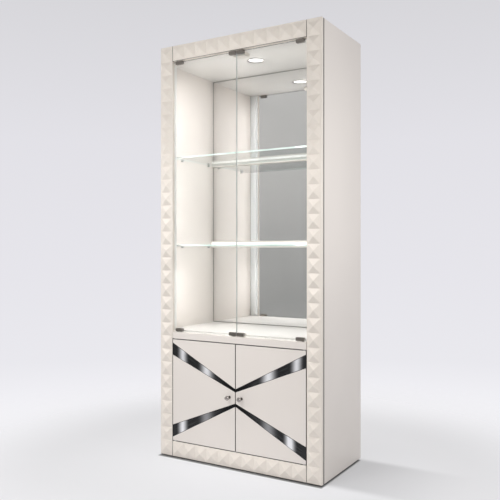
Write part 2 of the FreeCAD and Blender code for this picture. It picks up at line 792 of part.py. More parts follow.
def touch_latch_body():
    """Twin housing of the touch latch under the ceiling."""
    under = CEILING - LATCH_HEIGHT
    body = wide_box(LATCH_WIDTH / 2, LATCH_FRONT, LATCH_FRONT + LATCH_LENGTH, under, CEILING)
    lower = [edge for edge in body.Edges if edge.BoundBox.ZMin < CEILING - 1e-6]
    body = body.makeFillet(LATCH_ROUND, lower)
    mouth = V(-LATCH_SPREAD, LATCH_FRONT, LATCH_AXIS_Z)
    bore = rod(PLUNGER_RADIUS + RUNNING_FIT, mouth, mouth + REARWARD * (PLUNGER_TAIL + PLUNGER_BORE_PLAY))
    return solid(body.cut(both_sides([bore])))


def magnet_stop():
    """Magnetic stop on the sill behind the lower strike clip of the left door."""
    x1 = -PANE_INNER - CLIP_INSET - (CLIP_WIDTH - MAGNET_STOP_WIDTH) / 2
    block = box(x1 - MAGNET_STOP_WIDTH, x1, CLAMP_BACK + CONTACT_GAP, DISPLAY_STEP_Y, SILL_HEIGHT,
                SILL_HEIGHT + MAGNET_STOP_HEIGHT)
    upper = [edge for edge in block.Edges if edge.BoundBox.ZMin > SILL_HEIGHT + 1e-6]
    return block.makeFillet(LATCH_ROUND, upper)


def inlay_outline(play):
    """Corners of the upper band on the left door, shrunk by the play on every side."""
    outer = -DOOR_OUTER
    inner = -DOOR_INNER

    def level(x, at_outer, at_inner):
        return DOOR_MID + at_outer + (at_inner - at_outer) * (x - outer) / (inner - outer)

    x0 = outer + play
    x1 = inner - play
    low = [V(x, 0, level(x, INLAY_OUTER_LOW, INLAY_INNER_LOW) + play) for x in (x0, x1)]
    outer_high = INLAY_OUTER_LOW + INLAY_OUTER_WIDTH
    inner_high = INLAY_INNER_LOW + INLAY_INNER_WIDTH
    high = [V(x, 0, level(x, outer_high, inner_high) - play) for x in (x1, x0)]
    return low + high


def inlay():
    """Upper metal band of the left door, a little proud of the lacquer."""
    points = [point + FORWARD * INLAY_PROUD for point in inlay_outline(INLAY_PLAY)]
    return prism(points, REARWARD * (INLAY_PROUD + INLAY_DEPTH))


def inlay_recess():
    """Recess for the upper metal band of the left door."""
    return prism(inlay_outline(0), REARWARD * INLAY_DEPTH)


def knob_centre():
    """Left knob on the face of its door."""
    return V(-KNOB_OFFSET, 0, DOOR_MID)


def knob():
    """Ball knob on a flared neck, tapped for its screw."""
    face = knob_centre()

    def at(radius, out):
        return face + RIGHT * radius + FORWARD * out

    meet = KNOB_STAND - math.sqrt(KNOB_BALL ** 2 - KNOB_NECK ** 2)
    outline = [
        at(0, 0),
        at(KNOB_ROSE, 0),
        at(KNOB_ROSE, KNOB_ROSE_THICK),
        at(KNOB_NECK, KNOB_ROSE_THICK + KNOB_FLARE),
        at(KNOB_NECK, meet),
    ]
    edges = [Part.makeLine(a, b) for a, b in zip(outline, outline[1:])]
    tip = at(0, KNOB_STAND + KNOB_BALL)
    edges.append(Part.Arc(outline[-1], at(KNOB_BALL, KNOB_STAND), tip).toShape())
    edges.append(Part.makeLine(tip, outline[0]))
    ball = Part.Face(Part.Wire(edges)).revolve(face, FORWARD, 360)
    return ball.cut(rod(KNOB_SCREW_RADIUS + TIGHT_FIT, face, face + FORWARD * KNOB_SCREW_BURY))


def knob_screw():
    """Screw through the door into the knob, its head on the rear face."""
    rear = knob_centre() + REARWARD * DOOR_THICK
    shank = rod(KNOB_SCREW_RADIUS, knob_centre() + FORWARD * (KNOB_SCREW_BURY - GROOVE_END_PLAY), rear)
    return solid(shank.fuse(rod(KNOB_SCREW_HEAD, rear, rear + REARWARD * KNOB_SCREW_HEAD_THICK)))


def door_panel():
    """Left cupboard door: eased front edges, two band recesses, holes for pivots and knob."""
    panel = box(-DOOR_OUTER, -DOOR_INNER, 0, DOOR_THICK, DOOR_BOTTOM, DOOR_TOP)
    panel = panel.makeFillet(DOOR_ROUND, [edge for edge in panel.Edges if on_front(edge, 0)])
    cuts = [inlay_recess(), upside_down(inlay_recess(), DOOR_MID)]
    for point, inward in door_pivots():
        edge = point - inward * DOOR_GAP
        cuts.append(rod(PIVOT_RADIUS + TIGHT_FIT, edge - inward * DOOR_PIN_BURY, edge))
    face = knob_centre()
    cuts.append(rod(KNOB_SCREW_RADIUS + TIGHT_FIT, face, face + REARWARD * DOOR_THICK))
    return solid(panel.cut(cuts))


def door_strike():
    """Steel plate on the rear of the left door for the magnetic catch."""
    return box(-STRIKE_INSET - STRIKE_WIDTH, -STRIKE_INSET, DOOR_THICK, DOOR_THICK + STRIKE_THICK,
               STRIKE_TOP - STRIKE_HEIGHT, STRIKE_TOP)


def door_catch():
    """Twin magnetic catch under the vitrine floor, its nose close to the strike plates."""
    half = STRIKE_INSET + STRIKE_WIDTH + CATCH_BORDER
    body = wide_box(half, FRAME_THICK, FRAME_THICK + CATCH_DEPTH, STRIKE_TOP - STRIKE_HEIGHT - CATCH_BORDER,
                    DISPLAY_UNDER)
    nose = wide_box(half - CATCH_BORDER, DOOR_THICK + STRIKE_THICK + CONTACT_GAP, FRAME_THICK,
                    STRIKE_TOP - STRIKE_HEIGHT, STRIKE_TOP)
    return solid(body.fuse(nose))


def cupboard_shelf():
    """Loose board inside the cupboard."""
    return wide_box(INNER_HALF - CUPBOARD_SHELF_GAP, CUPBOARD_SHELF_FRONT, BACK_FRONT - CUPBOARD_SHELF_GAP,
                    CUPBOARD_SHELF_HEIGHT, CUPBOARD_SHELF_HEIGHT + CUPBOARD_SHELF_THICK)


def carcass_nodes():
    """Boards, frame and base."""
    holes = bush_holes()
    return {
        "left_side_panel": [side_panel()],
        "right_side_panel": [other_side(side_panel())],
        "top_panel": [top_panel()],
        "ceiling_panel": [ceiling_panel()],
        "display_floor": [display_floor()],
        "bottom_panel": [bottom_panel()],
        "back_panel": [back_panel()],
        "mirror_panel": [mirror_panel()],
        "left_stile": [stile()],
        "right_stile": [other_side(stile())],
        "top_rail": [solid(studded_rail(RAIL_UNDER, HEIGHT).cut(holes))],
        "mid_rail": [solid(frame_board(-OPEN_HALF + FRAME_SEAM, OPEN_HALF - FRAME_SEAM, MID_RAIL_UNDER,
                                       SILL_HEIGHT).cut(holes))],
        "bottom_rail": [solid(studded_rail(FLOOR_GAP, BASE_TOP).cut(holes))],
        "rear_plinth": [rear_plinth()],
        "corner_blocks": [corner_block(place) for place in foot_places()],
        "levelling_feet": [levelling_foot(place) for place in foot_places()],
        "carcass_dowels": both_sides([dowel(seat, DOWEL_RADIUS, DOWEL_END_PLAY) for seat in dowel_seats()]),
        "cupboard_shelf": [cupboard_shelf()],
        "cupboard_shelf_pins": both_sides([shelf_pin(seat) for seat in cupboard_pin_seats()]),
    }


def display_nodes():
    """Shelves and lights of the vitrine."""
    heights = (LOWER_SHELF_HEIGHT, UPPER_SHELF_HEIGHT)
    return {
        "lower_glass_shelf": [glass_shelf(LOWER_SHELF_HEIGHT)],
        "upper_glass_shelf": [glass_shelf(UPPER_SHELF_HEIGHT)],
        "glass_shelf_pins": both_sides([shelf_pin(seat) for seat in glass_pin_seats()]),
        "glass_shelf_pads": both_sides([pin_pad(seat) for seat in glass_pin_seats()]),
        "shelf_light_bars": [light_bar(under) for under in heights],
        "shelf_light_diffusers": [bar_diffuser(under) for under in heights],
        "strip_channels": both_sides([strip_channel()]),
        "strip_diffusers": both_sides([strip_diffuser()]),
        "downlight_bezel": [downlight_bezel()],
        "downlight_lens": [downlight_lens()],
        "downlight_can": [downlight_can()],
        "led_driver": [led_driver()],
        "cable_grommet": [cable_grommet()],
    }


def fixed_fitting_nodes():
    """Bushes, latch and catches that stay on the carcass."""
    return {
        "glass_pivot_bushes": both_sides([pivot_bush(point, inward) for point, inward in pane_pivots()]),
        "door_pivot_bushes": both_sides([pivot_bush(point, inward) for point, inward in door_pivots()]),
        "touch_latch_body": [touch_latch_body()],
        "magnet_stops": both_sides([magnet_stop()]),
        "door_catch": [door_catch()],
    }


def door_nodes():
    """Pieces of the left-hand doors and plunger, by the part of the name after the side."""
    clamp, clip = fitting_spans()
    screws = [grub_screw(x) for span in (clamp, clip) for x in grub_places(span)]
    pins = [pivot(point, inward, DOOR_GAP, DOOR_PIN_BURY) for point, inward in door_pivots()]
    return {
        "glass_pane": [glass_pane()],
        "pivot_clamps": top_and_bottom([pivot_clamp()]),
        "strike_clips": top_and_bottom([strike_clip()]),
        "clamp_gaskets": top_and_bottom([gasket(clamp), gasket(clip)]),
        "clamp_screws": top_and_bottom(screws),
        "latch_plunger": [plunger()],
        "door_panel": [door_panel()],
        "door_inlays": [inlay(), upside_down(inlay(), DOOR_MID)],
        "door_knob": [knob(), knob_screw()],
        "door_pivot_pins": pins,
        "door_strike": [door_strike()],
    }


def main():
    nodes = {**carcass_nodes(), **display_nodes(), **fixed_fitting_nodes()}
    for name, shapes in door_nodes().items():
        nodes["left_" + name] = shapes
        nodes["right_" + name] = [other_side(shape) for shape in shapes]
    os.makedirs("parts", exist_ok=True)
    for name, shapes in nodes.items():
        shape = shapes[0] if len(shapes) == 1 else Part.Compound(shapes)
        shape.translate(V(0, FACE_Y, 0))
        shape.exportStep(os.path.join("parts", name + ".step"))
        print(name, len(shape.Solids), "solids", "valid" if shape.isValid() else "INVALID")


main()
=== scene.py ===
"""Looks of the glass display cabinet: cream lacquer, studded face frame, lit glass vitrine, banded doors.

Metres, +Z up, front towards -Y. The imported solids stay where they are; pieces that need soft edges, round
forms or polished glass are worked out here as point grids in the same frame.
"""
import json
import math

import bmesh
import bpy
import numpy as np
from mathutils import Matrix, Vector


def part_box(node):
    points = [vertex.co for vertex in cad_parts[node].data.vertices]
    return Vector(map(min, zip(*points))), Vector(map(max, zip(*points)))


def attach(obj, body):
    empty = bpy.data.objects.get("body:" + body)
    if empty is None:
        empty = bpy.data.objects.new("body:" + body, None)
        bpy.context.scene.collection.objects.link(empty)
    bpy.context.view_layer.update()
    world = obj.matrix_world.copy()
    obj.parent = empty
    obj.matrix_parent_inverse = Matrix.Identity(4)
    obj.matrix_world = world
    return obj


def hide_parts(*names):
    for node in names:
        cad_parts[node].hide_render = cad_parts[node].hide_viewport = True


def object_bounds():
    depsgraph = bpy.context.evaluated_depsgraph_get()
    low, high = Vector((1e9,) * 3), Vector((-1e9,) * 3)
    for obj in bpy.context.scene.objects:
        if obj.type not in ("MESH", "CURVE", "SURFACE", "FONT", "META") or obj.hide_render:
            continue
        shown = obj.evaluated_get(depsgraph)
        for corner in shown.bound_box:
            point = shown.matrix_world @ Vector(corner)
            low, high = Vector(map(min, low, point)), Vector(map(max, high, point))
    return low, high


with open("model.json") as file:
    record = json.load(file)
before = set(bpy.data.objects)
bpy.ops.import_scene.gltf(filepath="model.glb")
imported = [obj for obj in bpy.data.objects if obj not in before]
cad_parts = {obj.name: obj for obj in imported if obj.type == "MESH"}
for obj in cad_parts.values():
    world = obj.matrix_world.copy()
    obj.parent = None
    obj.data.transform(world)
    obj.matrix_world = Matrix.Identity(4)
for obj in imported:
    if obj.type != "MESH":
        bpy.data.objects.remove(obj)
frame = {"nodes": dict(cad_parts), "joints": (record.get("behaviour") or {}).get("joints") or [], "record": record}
solid_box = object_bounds()

# Camera of the photograph
CAMERA_PLACE = (1.6562, -2.8247, 1.0328)
CAMERA_TURN = math.radians(31.088)
CAMERA_LENS = 47.38

# Directions
ALONG_Y, ALONG_Z = 1, 2
TO_FRONT = (0, -1, 0)
TO_BACK = (0, 1, 0)
UPWARDS = (0, 0, 1)
DOWNWARDS = (0, 0, -1)

# Face frame and its studs
STUD_RISE = 0.010
STUD_GAP = 0.0012
STILE_STUDS = 31
STILE_STUD_END = 0.0115
STILE_STUD_OUTER = 0.008
STILE_STUD_INNER = 0.005
RAIL_STUDS = 11
RAIL_STUD_END = 0.002
RAIL_STUD_MARGIN = 0.0055
FRAME_EASE = 0.0012
GROOVE_DEPTH = 0.009
GROOVE_WIDTH = 0.005
RIDGE_ROUND = 0.0014
RIDGE_HOLD = 0.0012
CELL_CORNER = 0.003

# Rings from a stud's foot to its tip: share drawn in, share of the rise
STUD_RINGS = ((0.0, 0.0), (0.06, 0.06), (0.86, 0.86), (0.93, 0.922), (0.975, 0.957), (1.0, 0.966))

# Glass, clamps and clips
GLASS_EASE = 0.0006
PANE_CORNER = 0.0012
SHELF_CORNER = 0.0018
GLASS_FLAT = 0.9
CLAMP_HEIGHT = 0.0155
CLAMP_WEB = 0.0025
CLAMP_LINING = 0.0005
CLAMP_CORNER = 0.0018
CLAMP_EASE = 0.0009
WEB_EASE = 0.000225
PIVOT_COLLAR = 0.0055
PIVOT_RADIUS = 0.003
PIVOT_REACH = 0.011
BUSH_FLANGE = 0.0012

# Knobs
KNOB_OFFSET = 0.033
KNOB_BALL = 0.011
KNOB_STAND = 0.023
KNOB_NECK = 0.0036
KNOB_NECK_LONG = 0.0045
KNOB_ROSE = 0.007
KNOB_ROSE_THICK = 0.0015
KNOB_SCREW = 0.004
KNOB_SCREW_THICK = 0.0025
# Painted shade on the knob's neck and rose, behind the ball
NECK_PAINTED_SHADE = (0.11, 0.10, 0.092)
NECK_BLUR = 0.0005

# Bands of the cupboard doors
BAND_OUTER_LOW = 0.174
BAND_OUTER_WIDTH = 0.061
BAND_INNER_LOW = 0.0265
BAND_INNER_WIDTH = 0.0155
BAND_PLAY = 0.00025
BAND_SLOPE = 0.46
BAND_CHAMFER = 0.0022
BAND_FLAT = 0.995

# Painted highlights of the bands: distance from the cabinet's middle and reach
BAND_INNER_HIGHLIGHT = (0.170, 0.064)
BAND_OUTER_HIGHLIGHT = (0.314, 0.044)
BAND_RIGHT_SHIFT = 0.014
BAND_LOWER_SHIFT = 0.035

# Turned fittings
BEZEL_BORE = 0.0355
BEZEL_ROLL = 0.0022
BEZEL_FLARE = 1.6
BEZEL_SLEEVE = 0.0022
LENS_PLAY = 0.0002
LENS_LIFT = 0.003
LENS_DOME = 0.0012
FOOT_RADIUS = 0.018
FOOT_PAD = 0.007
FOOT_ROLL = 0.0022
FOOT_STEM = 0.005
GROMMET_BORE = 0.008
GROMMET_FLANGE = 0.016
GROMMET_SLEEVE = 0.012
GROMMET_ROLL = 0.0009

# Lacquer colours
CREAM_CARCASS = (0.80, 0.745, 0.70)
CREAM_FRAME = (0.82, 0.755, 0.685)
CREAM_DOOR = (0.79, 0.735, 0.69)
CREAM_INSIDE = (0.825, 0.80, 0.768)
# Near black of the painted shade in gaps, joints, grooves and on the glass edges under the rail
PAINTED_GAP_SHADE = (0.035, 0.030, 0.026)
PRIMER_WHITE = (0.86, 0.88, 0.88)
PRIMER_SKIN = 0.0004
PRIMER_BLUR = 0.0002

# Painted shade along edges of the lacquer, in gaps, joints, grooves and under rails: how far from an edge it
# starts or reaches, and how softly
EDGE_START = 0.0002
EDGE_FULL = 0.0008
EDGE_BLUR = 0.0004
STEP_BLUR = 0.001
RIM_DARK = (0.0005, 0.0011)
GROOVE_PAINTED_SHADE = (0.0012, 0.0020)
JOINT_REACH = 0.0032
LINTEL_REACH = 0.0006
SILL_REACH = 0.0008
LIP_DEPTH = 0.003
GROOVE_FROM = 0.055
GROOVE_LEAD = 0.003

# Glass edges: painted light beside the light strips, painted shade at the top of the door leaves
STRIP_LIGHT_PAINT_REACH = (0.340, 0.360)
PAINTED_STRIP_LIGHT = (0.80, 0.80, 0.775)
PANE_RIM = 0.001

# Opal strips and lens: share of their own colour in the light that they give off
OPAL_GLOW = 0.9792

# Mirror
MIRROR_RIM = (0.0012, 0.0024)
MIRROR_RIM_DARK = (0.05, 0.047, 0.043)

# Mesh steps and shading
SHARP_ANGLE = math.radians(14)
ROUND_STEPS = 4
LEAST_ROUND = 0.2
TURN_STEPS = 56
SMALL_TURN_STEPS = 40
SCREW_TURN_STEPS = 24
BAND_STEPS = 25
BALL_STEPS = 30
FLARE_STEPS = 7
THROAT_STEPS = 8
DOME_STEPS = 12
WELD = 1e-6
PLACE_DIGITS = 7
SAME_PLACE = 10.0 ** -PLACE_DIGITS
CORNER_SIGNS = np.array([(1, 1), (-1, 1), (-1, -1), (1, -1)], float)
QUARTERS = np.arange(4) * (math.pi / 2)

# Sockets of the Mix node when it mixes colours
MIX_A, MIX_B, MIX_OUT = 6, 7, 2


# Meshes

def node_box(name):
    """Lowest and highest corner of a solid, as arrays."""
    low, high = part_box(name)
    return np.array(low), np.array(high)


FRAME_FACE = node_box("mid_rail")[0][1]
FRAME_BACK = node_box("mid_rail")[1][1]
PANE_TOP = node_box("left_glass_pane")[1][2] - PANE_RIM


def grid_faces(rows, columns, around=False):
    """Quads between neighbouring points of a grid; around joins the last column to the first."""
    here = np.arange(rows * columns).reshape(rows, columns)
    beside = np.roll(here, -1, axis=1)
    if not around:
        here, beside = here[:, :-1], beside[:, :-1]
    return np.stack([here[:-1], beside[:-1], beside[1:], here[1:]], axis=-1).reshape(-1, 4)


def quarter(radius, start, steps=ROUND_STEPS):
    """Points of a quarter circle about the origin, from an angle in degrees onwards."""
    angle = np.radians(start) + np.linspace(0, math.pi / 2, steps + 1)
    return radius * np.stack([np.cos(angle), np.sin(angle)], axis=-1)


def round_four_corners(local):
    """Offsets round one corner, turned by quarter turns for the four corners of a rectangle."""
    cos, sin = np.cos(QUARTERS), np.sin(QUARTERS)
    turns = np.stack([np.stack([cos, -sin], -1), np.stack([sin, cos], -1)], -2)
    return np.einsum("qij,kj->qki", turns, local)


def rectangle_ring(centre, half, local, radius=0.0):
    """Rectangles with a given corner line: corner centres set in by the radius, plus the line's offsets."""
    inner = np.asarray(half, float) - radius
    corners = np.asarray(centre, float)[..., None, :] + CORNER_SIGNS * inner[..., None, :]
    points = corners[..., :, None, :] + round_four_corners(local)
    return points.reshape(*points.shape[:-3], -1, 2)


def turned(profile, centre, axis, steps=TURN_STEPS):
    """Surface of revolution: each (radius, distance along) of the profile is a ring about the axis."""
    profile = np.asarray(profile, float)
    axis = np.asarray(axis, float)
    side = np.roll(axis, 1)
    angle = np.linspace(0, 2 * math.pi, steps, endpoint=False)[:, None]
    ring = np.cos(angle) * side + np.sin(angle) * np.cross(axis, side)
    points = np.asarray(centre) + profile[:, :1, None] * ring + profile[:, 1:, None] * axis
    return points.reshape(-1, 3), [grid_faces(len(profile), steps, True)]


def eased_block(low, high, axis, corner, ease):
    """Block carried along an axis: a rounded rectangle, drawn in by a quarter round at both ends."""
    low, high = np.asarray(low, float), np.asarray(high, float)
    across = [n for n in range(3) if n != axis]
    centre, half = (low + high)[across] / 2, (high - low)[across] / 2
    turn = np.linspace(0, math.pi / 2, ROUND_STEPS + 1)
    inset, run = ease * (1 - np.sin(turn)), ease * (1 - np.cos(turn))
    insets = np.concatenate([inset, inset[::-1]])
    along = np.concatenate([low[axis] + run, high[axis] - run[::-1]])
    rings = []
    for drawn, place in zip(insets, along):
        radius = max(corner - drawn, corner * LEAST_ROUND)
        outline = rectangle_ring(centre, half - drawn, quarter(radius, 0), radius)
        rings.append(np.insert(outline, axis, place, axis=1))
    points = np.array(rings)
    count = points.shape[1]
    caps = [np.arange(count)[None], np.arange(count)[None] + (len(rings) - 1) * count]
    return points.reshape(-1, 3), [grid_faces(len(rings), count, True)] + caps


def add_piece(name, shells, materials):
    """One mesh object of closed shells, welded, facing outwards and smooth below the sharp angle."""
    mesh = bpy.data.meshes.new(name)
    points, faces, first = [], [], 0
    for shell_points, shell_faces in shells:
        points.append(shell_points)
        for block in shell_faces:
            faces += (block + first).tolist()
        first += len(shell_points)
    mesh.from_pydata(np.concatenate(points).tolist(), [], faces)
    weld = bmesh.new()
    weld.from_mesh(mesh)
    bmesh.ops.remove_doubles(weld, verts=weld.verts, dist=WELD)
    bmesh.ops.recalc_face_normals(weld, faces=weld.faces)
    weld.to_mesh(mesh)
    weld.free()
    mesh.shade_smooth()
    mesh.set_sharp_from_angle(angle=SHARP_ANGLE)
    for material in materials:
        mesh.materials.append(material)
    piece = bpy.data.objects.new(name, mesh)
    bpy.context.collection.objects.link(piece)
    return piece


def dress(name, shells, materials, body, replaced):
    """A new piece on its body, in the place of the solid it stands for."""
    piece = add_piece(name, shells, materials)
    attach(piece, body)
    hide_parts(replaced)
    return piece


def mirrored(shells):
    """The same shells on the other side of the cabinet's middle plane."""
    return [(points * (-1, 1, 1), faces) for points, faces in shells]


def turned_over(shells, level):
    """The same shells upside down about a level."""
    return [(points * (1, 1, -1) + (0, 0, 2 * level), faces) for points, faces in shells]


# Shaders

class Field:
    """A shader socket in Python arithmetic: every operator adds one Math node to the socket's tree."""

    def __init__(self, tree, socket=None):
        self.tree = tree
        self.socket = socket

    def node(self, kind, settings=(), sockets=(), out=0):
        """Add a node: its settings first, then the values or links of its sockets; gives one output."""
        made = self.tree.nodes.new("ShaderNode" + kind)
        for name, value in dict(settings).items():
            if name == "stops":
                fill_ramp(made.color_ramp, value)
            else:
                setattr(made, name, value)
        for name, value in dict(sockets).items():
            if isinstance(value, Field):
                self.tree.links.new(value.socket, made.inputs[name])
            else:
                made.inputs[name].default_value = value
        return Field(self.tree, made.outputs[out]) if made.outputs else None

    def math(self, operation, *values):
        """One Math node on the given values."""
        return self.node("Math", {"operation": operation}, dict(enumerate(values)))

    def vector(self, operation, *others, out=0):
        """One Vector Math node on this vector and others."""
        return self.node("VectorMath", {"operation": operation}, dict(enumerate((self, *others))), out)

    def __add__(self, other):
        return self.math("ADD", self, other)

    def __sub__(self, other):
        return self.math("SUBTRACT", self, other)

    def __rsub__(self, other):
        return self.math("SUBTRACT", other, self)

    def __mul__(self, other):
        return self.math("MULTIPLY", self, other)

    def __abs__(self):
        return self.math("ABSOLUTE", self)

    __radd__ = __add__
    __rmul__ = __mul__

    def least(self, other):
        """The smaller of two values."""
        return self.math("MINIMUM", self, other)

    def most(self, other):
        """The larger of two values."""
        return self.math("MAXIMUM", self, other)

    def rise(self, low, high):
        """0 below low, 1 above high, smooth between."""
        return self.node("MapRange", {"interpolation_type": "SMOOTHSTEP"}, {0: self, 1: low, 2: high})

    def past(self, edge, blur=EDGE_BLUR):
        """0 up to an edge, 1 from a blur's width past it."""
        return self.rise(edge, edge + blur)

    def peak(self, centre, reach):
        """1 at a centre, falling smoothly to 0 at its reach."""
        return 1 - abs(self - centre).rise(0, reach)

    def colour(self, first, second):
        """Mix of two colours, this field being the share of the second."""
        sockets = {0: self, MIX_A: paint(first), MIX_B: paint(second)}
        return self.node("Mix", {"data_type": "RGBA"}, sockets, MIX_OUT)

    def scaled(self, *factors):
        """This vector times a factor on each axis."""
        return self.vector("MULTIPLY", factors)

    def axis(self, name):
        """One coordinate of this vector."""
        return self.node("SeparateXYZ", sockets={0: self}, out=name)

    def noise(self, scale=1.0, detail=2.0):
        """Soft noise at this vector."""
        return self.node("TexNoise", sockets={"Vector": self, "Scale": scale, "Detail": detail})

    def bump(self, strength, distance):
        """Normal bent by this height."""
        return self.node("Bump", sockets={"Strength": strength, "Distance": distance, "Height": self})

    def surface(self, **sockets):
        """Principled surface, its socket names written with underscores, as the material's output."""
        named = {name.replace("_", " "): value for name, value in sockets.items()}
        self.node("OutputMaterial", sockets={"Surface": self.node("BsdfPrincipled", sockets=named)})


def fill_ramp(ramp, stops):
    """Set a ramp's (place, colour) stops."""
    while len(ramp.elements) < len(stops):
        ramp.elements.new(1.0)
    for element, (place, colour) in zip(ramp.elements, stops):
        element.position = place
        element.color = paint(colour)


def paint(colour):
    """A colour with full alpha, or a field as it is."""
    return colour if isinstance(colour, Field) else (*colour[:3], 1.0)


def shade(colour, factor):
    """A colour made lighter or darker."""
    return tuple(min(value * factor, 1.0) for value in colour)


def new_material(name):
    """Empty node material, a starting field and its object coordinates."""
    material = bpy.data.materials.new(name)
    material.use_nodes = True
    material.node_tree.nodes.clear()
    start = Field(material.node_tree)
    return material, start, start.node("TexCoord", out="Object")


def cream_lacquer(name, colour, painted_edge_shade=None, primed_from=None):
    """Sprayed satin lacquer: faint clouds in the colour, orange peel, uneven gloss, and painted shade along chosen
    edges.

    Behind the depth primed_from it is only primed white.
    """
    material, start, place = new_material(name)
    clouds = place.noise(scale=2.4).rise(0.32, 0.68)
    gloss = place.noise(scale=38.0)
    peel = place.noise(scale=750.0, detail=1.0)
    cream = clouds.colour(shade(colour, 0.985), shade(colour, 1.012))
    if primed_from is not None:
        cream = place.axis("Y").past(primed_from, PRIMER_BLUR).colour(cream, PRIMER_WHITE)
    start.surface(
        # Painted shade: the cream turns near black where the edge mask is 1
        Base_Color=painted_edge_shade(place).colour(cream, PAINTED_GAP_SHADE) if painted_edge_shade else cream,
        Roughness=0.29 + 0.09 * gloss,
        Normal=peel.bump(strength=0.10, distance=0.0004),
        Coat_Weight=0.25,
        Coat_Roughness=0.16,
    )
    return material


def door_painted_shade(place):
    """Painted shade of the gap round a cupboard door: its edges and the thin rim of its faces beside them."""
    low, high = node_box("right_door_panel")
    across, height = abs(place.axis("X")), place.axis("Z")
    inset = (across - low[0]).least(high[0] - across).least(height - low[2]).least(high[2] - height)
    return 1 - inset.rise(*RIM_DARK)


def frame_painted_shade(place):
    """Painted shade on the face frame: edges that look into a joint or into the gap round the doors, the underside
    over the glass, and the outer groove.
    """
    low, high = node_box("bottom_rail")
    face = low[1] + STUD_RISE
    opening = node_box("right_stile")[0][0]
    lintel = node_box("top_rail")[0][2]
    across, depth, height = abs(place.axis("X")), place.axis("Y"), place.axis("Z")
    behind = depth.rise(face + EDGE_START, face + EDGE_FULL)
    inside = 1 - across.past(opening + EDGE_START)
    ends = across.past(opening - JOINT_REACH)
    below = 1 - height.past(node_box("mid_rail")[0][2], STEP_BLUR)
    above = height.past(lintel - LINTEL_REACH)
    sill = height.past(high[2] - SILL_REACH) * below
    lip = 1 - depth.past(face + LIP_DEPTH, STEP_BLUR)
    under = (1 - abs(height - lintel).rise(*RIM_DARK)) * lip
    joint = behind * (ends * (below + above)).most(sill)
    groove = FRAME_BACK - GROOVE_WIDTH - GROOVE_LEAD
    outer = across.past(opening + GROOVE_FROM, STEP_BLUR) * depth.past(groove, STEP_BLUR)
    return outer + inside * joint.most(under)


def rail_painted_shade(place):
    """Painted shade on the underside of the plain rail, above the cupboard doors."""
    return 1 - (place.axis("Z") - node_box("mid_rail")[0][2]).rise(*RIM_DARK)


def side_painted_shade(place):
    """Painted shade on the front edge of a side panel, at the bottom of the shadow groove beside the stile."""
    return 1 - (place.axis("Y") - node_box("right_side_panel")[0][1]).rise(*GROOVE_PAINTED_SHADE)


def brushed_metal(name, colour, roughness, brush):
    """Metal with fine brush lines; brush scales the noise on each axis, small along the lines."""
    material, start, place = new_material(name)
    lines = place.scaled(*brush).noise(detail=3.0)
    start.surface(
        Base_Color=lines.colour(shade(colour, 0.82), shade(colour, 1.16)),
        Metallic=1.0,
        Roughness=roughness - 0.08 + 0.16 * lines,
        Normal=lines.bump(strength=0.15, distance=0.0002),
    )
    return material


def band_metal():
    """Gunmetal band: near black towards the middle, two painted highlights in place of reflected lamps, brush
    lines along it.

    On the right door the painted highlights lie a little further out, but the outer one of its lower band further
    in.
    The inner painted highlights of both lower bands are duller.
    """
    material, start, place = new_material("band_gunmetal")
    low, high = node_box("left_door_panel")
    middle = (low[2] + high[2]) / 2
    reach, height = abs(place.axis("X")), place.axis("Z")
    across = abs(height - middle) - BAND_SLOPE * reach
    lines = start.node("CombineXYZ", sockets={0: 14.0 * reach, 2: 420.0 * across}).noise(detail=3.0)
    wander = 0.012 * place.scaled(6.0, 1.0, 9.0).noise()
    right = place.axis("X").rise(-STEP_BLUR, STEP_BLUR)
    lower = 1 - height.rise(middle - STEP_BLUR, middle + STEP_BLUR)
    lower_right = lower * right
    # Painted highlights: their distance from the cabinet's middle, wandering a little, sets where the bright
    # streaks lie
    ground = reach + wander - BAND_RIGHT_SHIFT * right
    inner = ground.peak(*BAND_INNER_HIGHLIGHT) * (1 - 0.45 * lower)
    outer = (ground + BAND_LOWER_SHIFT * lower_right).peak(*BAND_OUTER_HIGHLIGHT) * (0.97 + 0.12 * lower_right)
    sheen = inner * inner + outer * outer + 0.025 * reach.rise(0.02, 0.14) + 0.14 * (lines - 0.5)
    start.surface(
        Base_Color=sheen.colour((0.006, 0.006, 0.007), (0.95, 0.95, 0.98)),
        Metallic=0.45,
        Specular_IOR_Level=0.25,
        Roughness=0.24 + 0.14 * lines,
        Normal=lines.bump(strength=0.12, distance=0.0002),
    )
    return material


def polished_metal(name, colour, painted_shade_from=None):
    """Bright metal with faint polishing marks; behind a given depth it turns near black with painted shade."""
    material, start, place = new_material(name)
    marks = place.noise(scale=160.0, detail=4.0)
    bright = marks.colour(shade(colour, 0.95), colour)
    if painted_shade_from is not None:
        bright = place.axis("Y").past(painted_shade_from, NECK_BLUR).colour(bright, NECK_PAINTED_SHADE)
    start.surface(
        Base_Color=bright,
        Metallic=1.0,
        Roughness=0.05 + 0.07 * marks,
    )
    return material


def mirror_silver():
    """Silvered glass, darker in a thin rim along its edges, a trace of wiping marks in its gloss."""
    material, start, place = new_material("mirror_silver")
    wipes = place.scaled(3.0, 1.0, 9.0).noise(detail=3.0)
    low, high = node_box("mirror_panel")
    middle, half = (low + high) / 2, (high - low) / 2
    from_side = half[0] - abs(place.axis("X") - middle[0])
    from_end = half[2] - abs(place.axis("Z") - middle[2])
    rim = 1 - from_side.least(from_end).rise(*MIRROR_RIM)
    silver = wipes.colour((0.855, 0.85, 0.848), (0.885, 0.88, 0.878))
    start.surface(
        Base_Color=rim.colour(silver, MIRROR_RIM_DARK),
        Metallic=1.0,
        Roughness=0.004 + 0.012 * wipes,
    )
    return material


